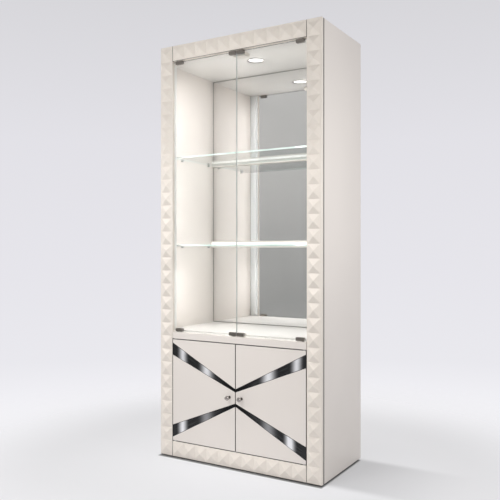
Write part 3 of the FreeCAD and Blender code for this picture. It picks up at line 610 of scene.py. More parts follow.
def clear_glass(name, tint, gloss):
    """Flat glass: see-through, with the mirror-like share that a glass face has at each slant."""
    material, start, place = new_material(name)
    smear = place.scaled(5.0, 1.0, 2.0).noise(detail=3.0)
    fresnel = start.node("Fresnel", sockets={"IOR": 1.46})
    entering = 1 - start.node("NewGeometry", out="Backfacing")
    shown = start.node("MixShader", sockets={
        0: fresnel * entering * (gloss - 0.12 + 0.24 * smear),
        1: start.node("BsdfTransparent", sockets={"Color": paint(tint)}),
        2: start.node("BsdfGlossy", sockets={"Roughness": 0.006}),
    })
    start.node("OutputMaterial", sockets={"Surface": shown})
    return material


def glass_edge_painted_light(name, dark, light, glow):
    """Polished edge of float glass: green from the depth of the glass, faintly striped, with a painted glow as if
    lit from inside.

    Beside the light strips a painted light makes it pale; at the top of the door leaves a painted shade stands in
    for the reflection of the dark gap under the rail, and the glow stops there.
    """
    material, start, place = new_material(name)
    stripes = place.scaled(9.0, 60.0, 7.0).noise(detail=3.0).rise(0.3, 0.7)
    painted_top_shade = place.axis("Z").past(PANE_TOP - EDGE_BLUR)
    beside = abs(place.axis("X")).rise(*STRIP_LIGHT_PAINT_REACH)
    start.surface(
        Base_Color=painted_top_shade.colour(beside.colour(stripes.colour(dark, light), PAINTED_STRIP_LIGHT), PAINTED_GAP_SHADE),
        Roughness=0.10 + 0.10 * stripes,
        Emission_Color=painted_top_shade.colour(light, (0.0, 0.0, 0.0)),
        Emission_Strength=glow,
    )
    return material


def lit_opal(name, colour, strength):
    """Opal strip or lens, lit evenly from inside."""
    material, start = new_material(name)[:2]
    start.surface(
        Base_Color=paint(colour),
        Roughness=0.45,
        Emission_Color=paint(shade(colour, OPAL_GLOW)),
        Emission_Strength=strength,
    )
    return material


def moulded(name, colour, roughness, grain=420.0):
    """Moulded plastic, nylon or rubber, or a powder coat: fine grain in gloss and surface."""
    material, start, place = new_material(name)
    speckle = place.noise(scale=grain)
    start.surface(
        Base_Color=speckle.colour(shade(colour, 0.92), shade(colour, 1.06)),
        Roughness=roughness - 0.06 + 0.12 * speckle,
        Normal=speckle.bump(strength=0.12, distance=0.0003),
    )
    return material


def bare_beech():
    """Plain beech: long grain with short darker flecks."""
    material, start, place = new_material("bare_beech")
    grain = place.scaled(12.0, 160.0, 160.0).noise(detail=4.0)
    flecks = place.scaled(90.0, 700.0, 700.0).noise(detail=2.0).rise(0.62, 0.72)
    wood = grain.colour((0.56, 0.39, 0.24), (0.72, 0.54, 0.36))
    start.surface(
        Base_Color=(flecks * 0.5).colour(wood, (0.36, 0.22, 0.12)),
        Roughness=0.55 + 0.15 * grain,
        Normal=grain.bump(strength=0.2, distance=0.0003),
    )
    return material


def back_foil():
    """Matt foil on thin board, with the faint mottling of the fibre below."""
    material, start, place = new_material("back_foil")
    fibre = place.scaled(60.0, 60.0, 110.0).noise(detail=4.0)
    start.surface(
        Base_Color=fibre.colour((0.70, 0.67, 0.62), (0.77, 0.74, 0.69)),
        Roughness=0.55 + 0.15 * fibre,
        Normal=fibre.bump(strength=0.12, distance=0.0004),
    )
    return material


MATERIALS = {
    "carcass_lacquer": cream_lacquer("carcass_cream", CREAM_CARCASS),
    # Face frame: cream with painted shade in its joints, the door gap, under the top rail and in the groove
    "frame_lacquer": cream_lacquer("frame_cream", CREAM_FRAME, frame_painted_shade, FRAME_BACK - PRIMER_SKIN),
    # Cupboard doors: cream with painted shade on the edges in the gap round them
    "door_lacquer": cream_lacquer("door_cream", CREAM_DOOR, door_painted_shade),
    "inside_lacquer": cream_lacquer("inside_cream", CREAM_INSIDE),
    "back_board": back_foil(),
    "beech": bare_beech(),
    "door_glass": clear_glass("door_glass", (0.994, 0.996, 0.995), 1.5),
    "shelf_glass": clear_glass("shelf_glass", (0.975, 0.992, 0.985), 1.0),
    "mirror_silver": mirror_silver(),
    "dark_metal": brushed_metal("clamp_gunmetal", (0.29, 0.265, 0.24), 0.34, (60.0, 60.0, 900.0)),
    "inlay_metal": band_metal(),
    "chrome": polished_metal("polished_chrome", (0.62, 0.60, 0.585)),
    "steel": brushed_metal("bright_steel", (0.55, 0.55, 0.55), 0.30, (300.0, 300.0, 900.0)),
    "aluminium": moulded("coated_aluminium", (0.80, 0.77, 0.715), 0.42, 900.0),
    "opal": lit_opal("lit_opal", (0.98, 0.965, 0.94), 0.40),
    "lens": lit_opal("lit_lens", (1.0, 0.99, 0.98), 2.2),
    "white_plastic": moulded("cream_plastic", (0.71, 0.675, 0.62), 0.45),
    "black_plastic": moulded("black_plastic", (0.035, 0.034, 0.034), 0.50),
    "nylon": moulded("white_nylon", (0.72, 0.70, 0.66), 0.50),
    "rubber": moulded("clear_rubber", (0.42, 0.41, 0.40), 0.60),
}
# Glass edges with a painted glow: faint on the door leaves, stronger on the shelves
DOOR_EDGE = glass_edge_painted_light("door_glass_edge", (0.42, 0.445, 0.435), (0.61, 0.64, 0.63), 0.03)
SHELF_EDGE = glass_edge_painted_light("shelf_glass_edge", (0.44, 0.55, 0.50), (0.70, 0.78, 0.745), 0.22)


def coat(node, material):
    """Give a solid its finish."""
    frame["nodes"][node].material_slots[0].material = material


def coat_solids():
    """The finish of each solid by its slot, and the few that differ from their slot."""
    for part in frame["record"]["subparts"]:
        coat(part["node"], MATERIALS[part["material_slot"]])
    # Mid rail: cream with painted shade on its underside
    coat("mid_rail", cream_lacquer("rail_cream", CREAM_DOOR, rail_painted_shade))
    # Side panels: cream with painted shade at the bottom of the groove
    side_cream = cream_lacquer("side_cream", CREAM_CARCASS, side_painted_shade)
    coat("left_side_panel", side_cream)
    coat("right_side_panel", side_cream)
    coat("strip_channels", moulded("strip_white", PRIMER_WHITE, 0.42, 900.0))
    coat("strip_diffusers", lit_opal("strip_opal", (0.78, 0.79, 0.79), 0.08))


# Studded face frame

def stud_spans(start, end, count):
    """Start and end of each stud in an even row with small gaps between."""
    edges = np.linspace(start, end, count + 1)
    return np.stack([edges[:-1] + STUD_GAP / 2, edges[1:] - STUD_GAP / 2], axis=-1)


def ridge_corner(radius, hold):
    """Corner line of a stud's ring: a small arc with one more point on the straight at either end."""
    return np.concatenate([[(radius, -hold)], quarter(radius, 0), [(-hold, radius)]])


def corner_steps():
    """Distances from a cell's corner at which its corner line has points."""
    return np.linspace(0, 1, (ROUND_STEPS + 2) // 2 + 1) * CELL_CORNER


def cell_corner():
    """Corner line of a stud's cell: a plain right angle with as many points as a stud's corner."""
    steps = corner_steps()[::-1]
    first = np.stack([0 * steps, -steps], axis=-1)
    second = np.stack([-steps, 0 * steps], axis=-1)[-2::-1]
    return np.concatenate([first, second])


def cell_sides(low, high):
    """Places along a cell's side where its corner lines have points, for all cells in order."""
    steps = corner_steps()
    places = np.concatenate([np.add.outer(low, steps), np.subtract.outer(high, steps)], axis=None)
    return np.unique(places.round(PLACE_DIGITS))


def studded_board(length, across, studs, stud_across, groove=0.0):
    """Board with a row of pyramids, as (along, across, out) points.

    Each stud has a cell of the flat front. Rings of points lead from the cell's rectangle over the stud's
    square foot to its tip: a ring is a rectangle with small round corners, drawn in by a share, and raised
    by nearly the same share of the rise. The border of all cells then turns over the eased edge and runs
    back; along the low side it steps in by the groove; a flat back closes it.
    """
    between = (studs[1:, 0] + studs[:-1, 1]) / 2
    cell_low = np.concatenate([[length[0] + FRAME_EASE], between])
    cell_high = np.concatenate([between, [length[1] - FRAME_EASE]])
    side_low, side_high = across[0] + FRAME_EASE, across[1] - FRAME_EASE
    count = len(studs)

    def centre_half(low, high, at, to):
        """Centres and half sizes of rectangles, from their ends along the board and across it."""
        low_corner = np.stack([low, np.full(count, at)], axis=-1)
        high_corner = np.stack([high, np.full(count, to)], axis=-1)
        return (low_corner + high_corner) / 2, (high_corner - low_corner) / 2

    middle, half = centre_half(cell_low, cell_high, side_low, side_high)
    flat = rectangle_ring(middle, half, cell_corner())
    rings = [np.dstack([flat, np.zeros(flat.shape[:2])])]
    middle, half = centre_half(studs[:, 0], studs[:, 1], *stud_across)
    for drawn, raised in STUD_RINGS:
        left = half * (1 - drawn)
        radius = min(RIDGE_ROUND, left.min() / 2)
        flat = rectangle_ring(middle, left, ridge_corner(radius, min(RIDGE_HOLD, radius)), radius)
        rings.append(np.dstack([flat, np.full(flat.shape[:2], STUD_RISE * raised)]))
    front = np.stack(rings, axis=1)
    per_cell = front.shape[1] * front.shape[2]
    cell_faces = grid_faces(front.shape[1], front.shape[2], True)
    front_faces = (cell_faces[None] + np.arange(count)[:, None, None] * per_cell).reshape(-1, 4)

    runs = cell_sides(cell_low, cell_high)
    sides = cell_sides(np.array([side_low]), np.array([side_high]))
    border = np.concatenate([
        np.stack([runs, np.full(len(runs), side_low)], axis=-1),
        np.stack([np.full(len(sides), runs[-1]), sides], axis=-1)[1:],
        np.stack([runs, np.full(len(runs), side_high)], axis=-1)[-2::-1],
        np.stack([np.full(len(sides), runs[0]), sides], axis=-1)[-2:0:-1],
    ])
    at_low = border <= border.min(axis=0) + SAME_PLACE
    at_high = border >= border.max(axis=0) - SAME_PLACE
    outward = at_high.astype(float) - at_low
    thick = FRAME_BACK - FRAME_FACE
    steps = [(grow, FRAME_EASE - out, 0.0) for grow, out in quarter(FRAME_EASE, 0)[::-1]]
    steps.append((FRAME_EASE, thick - GROOVE_WIDTH, 0.0))
    steps.append((FRAME_EASE, thick - GROOVE_WIDTH, groove))
    steps.append((FRAME_EASE, thick, groove))
    wrap = []
    for grow, back, step_in in steps:
        loop = border + outward * grow
        loop[:, 1] = np.maximum(loop[:, 1], across[0] + FRAME_EASE - grow + step_in)
        wrap.append(np.column_stack([loop, np.full(len(loop), -back)]))
    first = front.size // 3
    wrap_faces = grid_faces(len(wrap), len(border), True) + first
    back_face = np.arange(len(border))[None] + first + (len(wrap) - 1) * len(border)
    points = np.concatenate([front.reshape(-1, 3), np.concatenate(wrap)])
    return points, [front_faces, wrap_faces, back_face]


def upright(shell):
    """A board's points with its length up, its width along X."""
    points, faces = shell
    return np.column_stack([points[:, 1], FRAME_FACE - points[:, 2], points[:, 0]]), faces


def level(shell):
    """A board's points with its length along X, its width up."""
    points, faces = shell
    return np.column_stack([points[:, 0], FRAME_FACE - points[:, 2], points[:, 1]]), faces


def make_face_frame():
    """Both stiles and the two studded rails."""
    low, high = node_box("left_stile")
    spans = stud_spans(low[2] + STILE_STUD_END, high[2] - STILE_STUD_END, STILE_STUDS)
    stud_across = (low[0] + STILE_STUD_OUTER, high[0] - STILE_STUD_INNER)
    stile = upright(studded_board((low[2], high[2]), (low[0], high[0]), spans, stud_across, GROOVE_DEPTH))
    cream = [MATERIALS["frame_lacquer"]]
    dress("left_studded_stile", [stile], cream, "cabinet", "left_stile")
    dress("right_studded_stile", mirrored([stile]), cream, "cabinet", "right_stile")
    for name in ("top", "bottom"):
        low, high = node_box(name + "_rail")
        spans = stud_spans(low[0] + RAIL_STUD_END, high[0] - RAIL_STUD_END, RAIL_STUDS)
        stud_across = (low[2] + RAIL_STUD_MARGIN, high[2] - RAIL_STUD_MARGIN)
        rail = level(studded_board((low[0], high[0]), (low[2], high[2]), spans, stud_across))
        dress(name + "_studded_rail", [rail], cream, "cabinet", name + "_rail")


# Glass

def mark_edges(piece, axis, flat):
    """Give the second material to all faces of a sheet that are not flat across the axis."""
    mesh = piece.data
    normals = np.empty(len(mesh.polygons) * 3, np.float32)
    mesh.polygons.foreach_get("normal", normals)
    narrow = np.abs(normals.reshape(-1, 3)[:, axis]) < flat
    mesh.polygons.foreach_set("material_index", narrow.astype(np.int32))


def make_glass():
    """Door leaves and shelves with eased, polished edges."""
    for side in ("left", "right"):
        node = side + "_glass_pane"
        sheet = eased_block(*node_box(node), ALONG_Y, PANE_CORNER, GLASS_EASE)
        glass = [MATERIALS["door_glass"], DOOR_EDGE]
        leaf = dress(side + "_glass_leaf", [sheet], glass, side + "_glass_door", node)
        mark_edges(leaf, ALONG_Y, GLASS_FLAT)
    for height in ("lower", "upper"):
        node = height + "_glass_shelf"
        sheet = eased_block(*node_box(node), ALONG_Z, SHELF_CORNER, GLASS_EASE)
        glass = [MATERIALS["shelf_glass"], SHELF_EDGE]
        shelf = dress(height + "_polished_shelf", [sheet], glass, "cabinet", node)
        mark_edges(shelf, ALONG_Z, GLASS_FLAT)


def saddle(span, front_back, slot, top):
    """Fitting over the upper edge of a leaf: two cheeks with round corners and a web between them."""
    front, back = front_back
    bottom = top - CLAMP_HEIGHT
    shells = []
    for near, far in ((front, slot[0]), (slot[1], back)):
        cheek = ((span[0], near, bottom), (span[1], far, top))
        shells.append(eased_block(*cheek, ALONG_Y, CLAMP_CORNER, CLAMP_EASE))
    web_low = (span[0] + CLAMP_CORNER, slot[0], top - CLAMP_WEB)
    web_high = (span[1] - CLAMP_CORNER, slot[1], top)
    return shells + [eased_block(web_low, web_high, ALONG_Y, CLAMP_EASE, WEB_EASE)]


def clamp_pivot(centre, top):
    """Collar and pin that carry a leaf, from the top of its clamp into the rail."""
    rail = node_box("top_rail")[0][2]
    flange, end = rail - BUSH_FLANGE, rail + PIVOT_REACH
    profile = [(0, top), (PIVOT_COLLAR, top), (PIVOT_COLLAR, flange), (PIVOT_RADIUS, flange),
               (PIVOT_RADIUS, end), (0, end)]
    return turned(profile, (centre[0], centre[1], 0), UPWARDS)


def make_glass_fittings():
    """Hinge clamps and strike clips of the left leaf, and their twins on the right."""
    pane_low, pane_high = node_box("left_glass_pane")
    top = pane_high[2] + CLAMP_LINING + CLAMP_WEB
    middle = (pane_low[2] + pane_high[2]) / 2
    slot = (pane_low[1] - CLAMP_LINING, pane_high[1] + CLAMP_LINING)
    metal = [MATERIALS["dark_metal"]]
    hinge = next(joint for joint in frame["joints"] if joint["name"] == "left_glass_door_swing")
    for kind, name in (("pivot_clamps", "hinge_clamps"), ("strike_clips", "meeting_clips")):
        low, high = node_box("left_" + kind)
        shells = saddle((low[0], high[0]), (low[1], high[1]), slot, top)
        if kind == "pivot_clamps":
            shells.append(clamp_pivot(hinge["pos_m"], top))
        shells += turned_over(shells, middle)
        for side, made in (("left_", shells), ("right_", mirrored(shells))):
            dress(side + name, made, metal, side + "glass_door", side + kind)


# Cupboard doors

def band(outer, inner, middle, levels):
    """Tapered band: points across it follow a chamfered section, points along it the straight taper."""
    along = np.linspace(0, 1, BAND_STEPS)
    low = BAND_OUTER_LOW + (BAND_INNER_LOW - BAND_OUTER_LOW) * along + BAND_PLAY
    wide = BAND_OUTER_WIDTH + (BAND_INNER_WIDTH - BAND_OUTER_WIDTH) * along - 2 * BAND_PLAY
    proud, flush, sunk = levels
    section = np.array([
        (0, 0, sunk), (0, 0, flush), (0, BAND_CHAMFER, proud),
        (1, -BAND_CHAMFER, proud), (1, 0, flush), (1, 0, sunk),
    ])
    x = outer + BAND_PLAY + (inner - outer - 2 * BAND_PLAY) * along
    z = middle + low[:, None] + section[:, 0] * wide[:, None] + section[:, 1]
    points = np.stack(np.broadcast_arrays(x[:, None], section[:, 2], z), axis=-1)
    count = len(section)
    ends = [np.arange(count)[None], np.arange(count)[None] + (len(along) - 1) * count]
    return points.reshape(-1, 3), [grid_faces(len(along), count, True)] + ends


def make_bands():
    """Upper and lower band on each cupboard door."""
    low, high = node_box("left_door_panel")
    inlay_low, inlay_high = node_box("left_door_inlays")
    middle = (low[2] + high[2]) / 2
    upper = band(low[0], high[0], middle, (inlay_low[1], low[1], inlay_high[1]))
    shells = [upper] + turned_over([upper], middle)
    # Chamfers of the bands: near black, painted shade along the band edges
    edge = brushed_metal("band_edge_painted_shade", (0.03, 0.03, 0.032), 0.4, (14.0, 400.0, 420.0))
    metal = [MATERIALS["inlay_metal"], edge]
    for side, made in (("left_", shells), ("right_", mirrored(shells))):
        bands = dress(side + "metal_bands", made, metal, side + "door", side + "door_inlays")
        mark_edges(bands, ALONG_Y, BAND_FLAT)


def make_knobs():
    """Turned ball knobs: rose, neck flaring by a cubic, ball, and the domed screw head behind the door."""
    low, high = node_box("left_door_panel")
    meet = math.asin(KNOB_NECK / KNOB_BALL)
    turn = np.linspace(math.pi - meet, 0, BALL_STEPS)
    ball = np.stack([KNOB_BALL * np.sin(turn), KNOB_STAND + KNOB_BALL * np.cos(turn)], axis=-1)
    ball[-1, 0] = 0.0
    flare = np.linspace(0, 1, FLARE_STEPS)
    neck_radius = KNOB_NECK + (KNOB_ROSE - KNOB_NECK) * (1 - flare) ** 3
    neck = np.stack([neck_radius, KNOB_ROSE_THICK + KNOB_NECK_LONG * flare], axis=-1)
    profile = np.concatenate([[(0, 0), (KNOB_ROSE, 0)], neck, ball])
    x, z = -KNOB_OFFSET, (low[2] + high[2]) / 2
    knob = turned(profile, (x, low[1], z), TO_FRONT)
    dome = quarter(KNOB_SCREW_THICK, 0) + (KNOB_SCREW - KNOB_SCREW_THICK, 0)
    head = np.concatenate([[(0, 0)], dome, [(0, KNOB_SCREW_THICK)]])
    screw = turned(head, (x, high[1], z), TO_BACK, SCREW_TURN_STEPS)
    shells = [knob, screw]
    # Behind the ball's back the neck and rose get painted shade
    ball_back = low[1] - KNOB_STAND + KNOB_BALL * math.cos(meet)
    nickel = [polished_metal("knob_nickel", (0.44, 0.41, 0.395), ball_back)]
    for side, made in (("left_", shells), ("right_", mirrored(shells))):
        dress(side + "ball_knob", made, nickel, side + "door", side + "door_knob")


# Turned fittings of the carcass

def make_downlight():
    """Satin ring with a flared throat and a rolled lip, and the slightly domed lens behind it."""
    low, high = node_box("downlight_bezel")
    centre = (low + high)[:2] / 2
    ceiling = node_box("ceiling_panel")[0][2]
    place = (*centre, ceiling)
    radius = (high[0] - low[0]) / 2
    lens_high = node_box("downlight_lens")[1]
    collar = lens_high[0] - centre[0]
    drop, top, lens_top = ceiling - low[2], high[2] - ceiling, lens_high[2] - ceiling
    lip = quarter(BEZEL_ROLL, 270) + (radius - BEZEL_ROLL, BEZEL_ROLL - drop)
    throat = np.linspace(0, 1, THROAT_STEPS)
    throat_radius = BEZEL_BORE + (radius - BEZEL_ROLL - BEZEL_BORE) * throat ** BEZEL_FLARE
    throat_height = LENS_LIFT - (LENS_LIFT + drop) * np.sin(throat * math.pi / 2)
    bore = np.stack([throat_radius, throat_height], axis=-1)
    outer, inner = collar + BEZEL_SLEEVE, collar + LENS_PLAY
    sleeve = [(radius, 0), (outer, 0), (outer, top), (inner, top)]
    seat = [(inner, LENS_LIFT), (BEZEL_BORE, LENS_LIFT)]
    ring = turned(np.concatenate([bore, lip, sleeve, seat]), place, UPWARDS)
    satin = [brushed_metal("ring_satin", (0.80, 0.79, 0.78), 0.36, (900.0, 900.0, 60.0))]
    dress("downlight_ring", [ring], satin, "cabinet", "downlight_bezel")
    reach = collar * np.linspace(0, 1, DOME_STEPS)
    dome = LENS_LIFT - LENS_DOME * (1 - (reach / BEZEL_BORE) ** 2).clip(0)
    profile = np.concatenate([np.stack([reach, dome], axis=-1), [(collar, lens_top), (0, lens_top)]])
    lens = turned(profile, place, UPWARDS)
    dress("downlight_glass", [lens], [MATERIALS["lens"]], "cabinet", "downlight_lens")


def make_feet():
    """Four levelling feet with rolled pads."""
    low, high = node_box("levelling_feet")
    lower = quarter(FOOT_ROLL, 270) + (FOOT_RADIUS - FOOT_ROLL, FOOT_ROLL)
    upper = quarter(FOOT_ROLL, 0) + (FOOT_RADIUS - FOOT_ROLL, FOOT_PAD - FOOT_ROLL)
    stem = [(FOOT_STEM, FOOT_PAD), (FOOT_STEM, high[2]), (0, high[2])]
    profile = np.concatenate([[(0, 0)], lower, upper, stem])
    xs = (low[0] + FOOT_RADIUS, high[0] - FOOT_RADIUS)
    ys = (low[1] + FOOT_RADIUS, high[1] - FOOT_RADIUS)
    feet = [turned(profile, (x, y, 0), UPWARDS, SMALL_TURN_STEPS) for x in xs for y in ys]
    black = [MATERIALS["black_plastic"]]
    dress("turned_feet", feet, black, "cabinet", "levelling_feet")


def make_cable_outlet():
    """Plastic sleeve with a rolled flange on the rear of the back board."""
    low, high = node_box("cable_grommet")
    rear = node_box("back_panel")[1][1]
    front, thick = low[1] - rear, high[1] - rear
    sleeve = [(GROMMET_BORE, front), (GROMMET_SLEEVE, front), (GROMMET_SLEEVE, 0), (GROMMET_FLANGE, 0)]
    roll = quarter(GROMMET_ROLL, 0) + (GROMMET_FLANGE - GROMMET_ROLL, thick - GROMMET_ROLL)
    mouth = quarter(GROMMET_ROLL, 90) + (GROMMET_BORE + GROMMET_ROLL, thick - GROMMET_ROLL)
    profile = np.concatenate([sleeve, roll, mouth, [(GROMMET_BORE, front)]])
    centre = (low + high) / 2
    grommet = turned(profile, (centre[0], rear, centre[2]), TO_BACK, SMALL_TURN_STEPS)
    black = [MATERIALS["black_plastic"]]
    dress("rolled_grommet", [grommet], black, "cabinet", "cable_grommet")


coat_solids()
make_face_frame()
make_glass()
make_glass_fittings()
make_bands()
make_knobs()
make_downlight()
make_feet()
make_cable_outlet()


# Studio

# Floor: its own glow near the cabinet and far from it, held back at the cabinet's foot as painted contact shade,
# and the painted shadow cast to the cabinet's right
FLOOR_RADIUS = 2.6
FLOOR_FADE = (0.9, 2.3)
FLOOR_GREY = (0.25, 0.25, 0.2525)
FLOOR_GLOW = (0.98, 0.975, 1.0)
FLOOR_LIFT = 0.74
FLOOR_NEAR = 0.80
FLOOR_SHADE = (0.0, 0.012)
FLOOR_FAR = (0.5, 1.3)
CAST_DEPTH = 0.38
CAST_REACH = (0.0, 0.60)
CAST_SIDE = (-0.5, -0.3)
CAST_MIDDLE = 0.03
CAST_EDGE = (-0.05, 0.02)

# Backdrop and room, by height from looking down to looking up
SKY_RANGE = (-0.40, 0.40)
BACKDROP = ((0.0, (0.83, 0.825, 0.855)), (0.22, (0.90, 0.895, 0.93)), (0.30, (0.82, 0.815, 0.855)),
            (0.45, (0.795, 0.787, 0.832)), (0.70, (0.765, 0.757, 0.80)), (1.0, (0.66, 0.655, 0.68)))
ROOM = ((0.0, (0.27, 0.272, 0.268)), (0.40, (0.35, 0.352, 0.346)), (0.52, (0.43, 0.43, 0.422)),
        (0.62, (0.53, 0.525, 0.515)), (1.0, (0.63, 0.62, 0.61)))
ROOM_FRONT = (0.15, 0.6)
ROOM_WHITE = (1.0, 0.99, 0.98)
ROOM_LIGHT = 0.44
SEEN_RAYS = ("Is Camera Ray", "Is Glossy Ray", "Is Transmission Ray")

# Lamps of the studio: place, point they look at, size, power, spread in degrees
ALL_ROUND = 180.0
STUDIO_LAMPS = {
    "key_box": ((0.0, -1.9, 1.60), (0.0, -0.2, 1.60), (0.5, 0.4), 5.0, ALL_ROUND),
    "graze_box": ((0.0, -0.66, 2.35), (0.0, -0.2, 0.70), (1.1, 0.10), 0.95, 32.0),
    "door_box": ((-0.5, -1.7, 2.3), (0.0, -0.2, 0.1), (0.7, 0.7), 1.9, 65.0),
    "rail_box": ((-0.6, -1.6, 1.2), (0.0, -0.2, 2.1), (0.5, 0.5), 0.85, 70.0),
    "left_box": ((-2.5, -1.7, 1.5), (0.0, -0.2, 1.0), (1.5, 1.3), 18.0, ALL_ROUND),
    "right_box": ((1.55, -0.35, 1.42), (0.445, -0.15, 1.34), (0.5, 0.6), 7.4, ALL_ROUND),
    "top_box": ((0.0, 0.05, 3.2), (0.0, 0.05, 2.0), (0.34, 0.16), 1.1, 40.0),
    "back_box": ((0.0, 1.9, 1.2), (0.0, 0.2, 1.0), (0.3, 1.1), 1.5, 30.0),
}
STUDIO_WHITE = (1.0, 1.0, 1.0)
MIRRORED_LAMPS = ("right_box",)

# Lamps in the cabinet: power, spread in degrees
CABINET_LAMPS = {
    "strip_lamp": (0.34, 120.0),
    "vitrine_glow": (1.30, ALL_ROUND),
    "mirror_glow": (0.9, ALL_ROUND),
    "sill_glow": (0.50, ALL_ROUND),
    "stile_lamp": (0.10, 40.0),
    "bar_lamp": (0.55, ALL_ROUND),
    "spot_lamp": (1.7, ALL_ROUND),
}
CABINET_WHITE = (0.985, 0.99, 1.0)
STRIP_LAMP_X = 0.300
STRIP_LAMP_BACK = 0.015
STRIP_LAMP_DROP = 0.03
STRIP_LAMP_WIDTH = 0.05
STRIP_LAMP_SHARE = 0.9
STRIP_LAMP_WAY = (0.12, 0.16)
VITRINE_GLOW_BACK = 0.01
VITRINE_GLOW_SIZE = (0.66, 1.28)
MIRROR_GLOW_CLEAR = 0.02
MIRROR_GLOW_SIZE = (0.80, 1.28)
SILL_GLOW_BACK = 0.05
SILL_GLOW_LIFT = 0.32
SILL_GLOW_SIZE = (0.70, 0.08)
STILE_LAMP_X = 0.398
STILE_LAMP_SIZE = (0.02, 1.20)
BAR_LAMP_CLEAR = 0.002
BAR_LAMP_LIFT = 0.009
BAR_LAMP_SHORTER = 0.16
BAR_LAMP_WIDTH = 0.010
SPOT_LAMP_DROP = 0.008
SPOT_LAMP_SIZE = (0.05, 0.05)


def seen_rays(start):
    """1 for rays that look, straight, mirrored or through glass; 0 for rays that only light."""
    straight, glossy, through = (start.node("LightPath", out=name) for name in SEEN_RAYS)
    return straight.most(glossy.most(through))


def make_world():
    """Pale backdrop behind the cabinet, the greyer room before it in mirrors, even light for the rest."""
    world = bpy.data.worlds.new("studio")
    bpy.context.scene.world = world
    world.use_nodes = True
    world.node_tree.nodes.clear()
    start = Field(world.node_tree)
    way = start.node("TexCoord", out="Generated")
    height = start.node("MapRange", sockets={0: way.axis("Z"), 1: SKY_RANGE[0], 2: SKY_RANGE[1]})
    backdrop = start.node("ValToRGB", {"stops": BACKDROP}, {0: height})
    room = start.node("ValToRGB", {"stops": ROOM}, {0: height})
    front = (0 - way.axis("Y")).rise(*ROOM_FRONT) * start.node("LightPath", out="Is Glossy Ray")
    seen = start.node("Background", sockets={"Color": front.colour(backdrop, room)})
    lit = start.node("Background", sockets={"Color": paint(ROOM_WHITE), "Strength": ROOM_LIGHT})
    shown = start.node("MixShader", sockets={0: seen_rays(start), 1: lit, 2: seen})
    start.node("OutputWorld", sockets={"Surface": shown})


def make_floor():
    """Pale round floor: takes the cabinet's shadow, glows faintly away from it, fades into the backdrop.

    The glow grows with the distance from the cabinet's foot, a painted contact shade; to the right of it a painted
    shadow takes part of the glow away, least at its far end and at its sides.
    """
    material, start, place = new_material("studio_floor")
    half = (solid_box[1][0], -node_box("bottom_rail")[0][1], 0.0)
    outside = place.vector("ABSOLUTE").vector("SUBTRACT", half).vector("MAXIMUM", (0.0, 0.0, 0.0))
    clear_of = outside.vector("LENGTH", out="Value")
    right_of = place.axis("X") - half[0]
    beside = abs(place.axis("Y") - CAST_MIDDLE) - half[1]
    # Painted shadow to the cabinet's right
    cast = (1 - right_of.rise(*CAST_REACH)) * right_of.rise(*CAST_SIDE) * (1 - beside.rise(*CAST_EDGE))
    # Painted contact shade: less glow close to the cabinet's foot
    away = FLOOR_NEAR * clear_of.rise(*FLOOR_SHADE) + (1 - FLOOR_NEAR) * clear_of.rise(*FLOOR_FAR)
    glow = (away * (1 - CAST_DEPTH * cast)).colour((0.0, 0.0, 0.0), FLOOR_GLOW)
    matt = start.node("BsdfDiffuse", sockets={"Color": paint(FLOOR_GREY)})
    lift = start.node("Emission", sockets={"Color": glow, "Strength": FLOOR_LIFT})
    shown = start.node("MixShader", sockets={
        0: place.vector("LENGTH", out="Value").rise(*FLOOR_FADE),
        1: start.node("AddShader", sockets={0: matt, 1: lift}),
        2: start.node("BsdfTransparent"),
    })
    start.node("OutputMaterial", sockets={"Surface": shown})
    disc = turned([(0, 0), (FLOOR_RADIUS, 0)], (0, 0, 0), UPWARDS)
    add_piece("studio_floor", [disc], [material])


def softbox(name, place, aim, size, power, spread, colour):
    """Rectangular lamp at a place, turned towards a point."""
    lamp = bpy.data.lights.new(name, "AREA")
    lamp.shape = "RECTANGLE"
    lamp.size, lamp.size_y = size
    lamp.energy = power
    lamp.color = colour
    lamp.spread = math.radians(spread)
    holder = bpy.data.objects.new(name, lamp)
    way = Vector(aim) - Vector(place)
    holder.rotation_euler = way.to_track_quat("-Z", "Y").to_euler()
    holder.location = place
    holder.visible_camera = False
    holder.visible_glossy = name in MIRRORED_LAMPS
    bpy.context.collection.objects.link(holder)


def make_studio_lamps():
    """Key in front, a row close above that grazes the studs, high and low fills, one lamp for each side."""
    for name, lamp in STUDIO_LAMPS.items():
        softbox(name, *lamp, STUDIO_WHITE)


def cabinet_lamp(name, place, way, size):
    """Lamp in the cabinet that looks in a direction."""
    softbox(name, place, np.add(place, way), size, *CABINET_LAMPS[name], CABINET_WHITE)


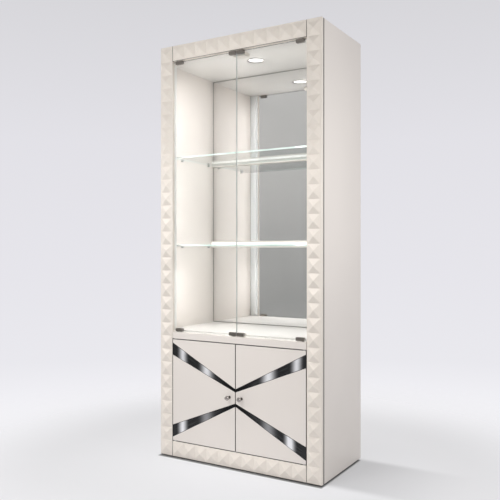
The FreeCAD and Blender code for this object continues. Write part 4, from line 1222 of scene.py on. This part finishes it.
def make_cabinet_lamps():
    """Light of the strips behind the stiles, of the shelf bars and of the downlight, spread inside."""
    low, high = node_box("strip_diffusers")
    strip_y, strip_z = high[1] + STRIP_LAMP_BACK, (low[2] + high[2]) / 2 - STRIP_LAMP_DROP
    strip_size = (STRIP_LAMP_WIDTH, STRIP_LAMP_SHARE * (high[2] - low[2]))
    for side in (-1, 1):
        way = (side * STRIP_LAMP_WAY[0], STRIP_LAMP_WAY[1], 0)
        cabinet_lamp("strip_lamp", (side * STRIP_LAMP_X, strip_y, strip_z), way, strip_size)
    pane_low, pane_high = node_box("left_glass_pane")
    middle = (pane_low[2] + pane_high[2]) / 2
    cabinet_lamp("vitrine_glow", (0, high[1] + VITRINE_GLOW_BACK, middle), TO_BACK, VITRINE_GLOW_SIZE)
    mirror_y = node_box("mirror_panel")[0][1] - MIRROR_GLOW_CLEAR
    cabinet_lamp("mirror_glow", (0, mirror_y, middle), TO_FRONT, MIRROR_GLOW_SIZE)
    sill_place = (0, high[1] + SILL_GLOW_BACK, pane_low[2] + SILL_GLOW_LIFT)
    cabinet_lamp("sill_glow", sill_place, DOWNWARDS, SILL_GLOW_SIZE)
    for side in (-1, 1):
        cabinet_lamp("stile_lamp", (side * STILE_LAMP_X, 0, middle), TO_FRONT, STILE_LAMP_SIZE)
    bar_low, bar_high = node_box("shelf_light_diffusers")
    bar_size = (bar_high[0] - bar_low[0] - BAR_LAMP_SHORTER, BAR_LAMP_WIDTH)
    for height in ("lower", "upper"):
        bar_z = node_box(height + "_glass_shelf")[1][2] + BAR_LAMP_LIFT
        cabinet_lamp("bar_lamp", (0, bar_low[1] - BAR_LAMP_CLEAR, bar_z), TO_FRONT, bar_size)
    lens_low, lens_high = node_box("downlight_lens")
    spot_x, spot_y = (lens_low + lens_high)[:2] / 2
    cabinet_lamp("spot_lamp", (spot_x, spot_y, lens_low[2] - SPOT_LAMP_DROP), DOWNWARDS, SPOT_LAMP_SIZE)


def make_camera():
    """The photograph's view."""
    camera = bpy.data.cameras.new("camera")
    camera.lens = CAMERA_LENS
    holder = bpy.data.objects.new("camera", camera)
    holder.location = CAMERA_PLACE
    holder.rotation_euler = (math.pi / 2, 0.0, CAMERA_TURN)
    bpy.context.collection.objects.link(holder)
    bpy.context.scene.camera = holder


make_world()
make_floor()
make_studio_lamps()
make_cabinet_lamps()
make_camera()
bpy.context.scene.view_settings.view_transform = "Standard"
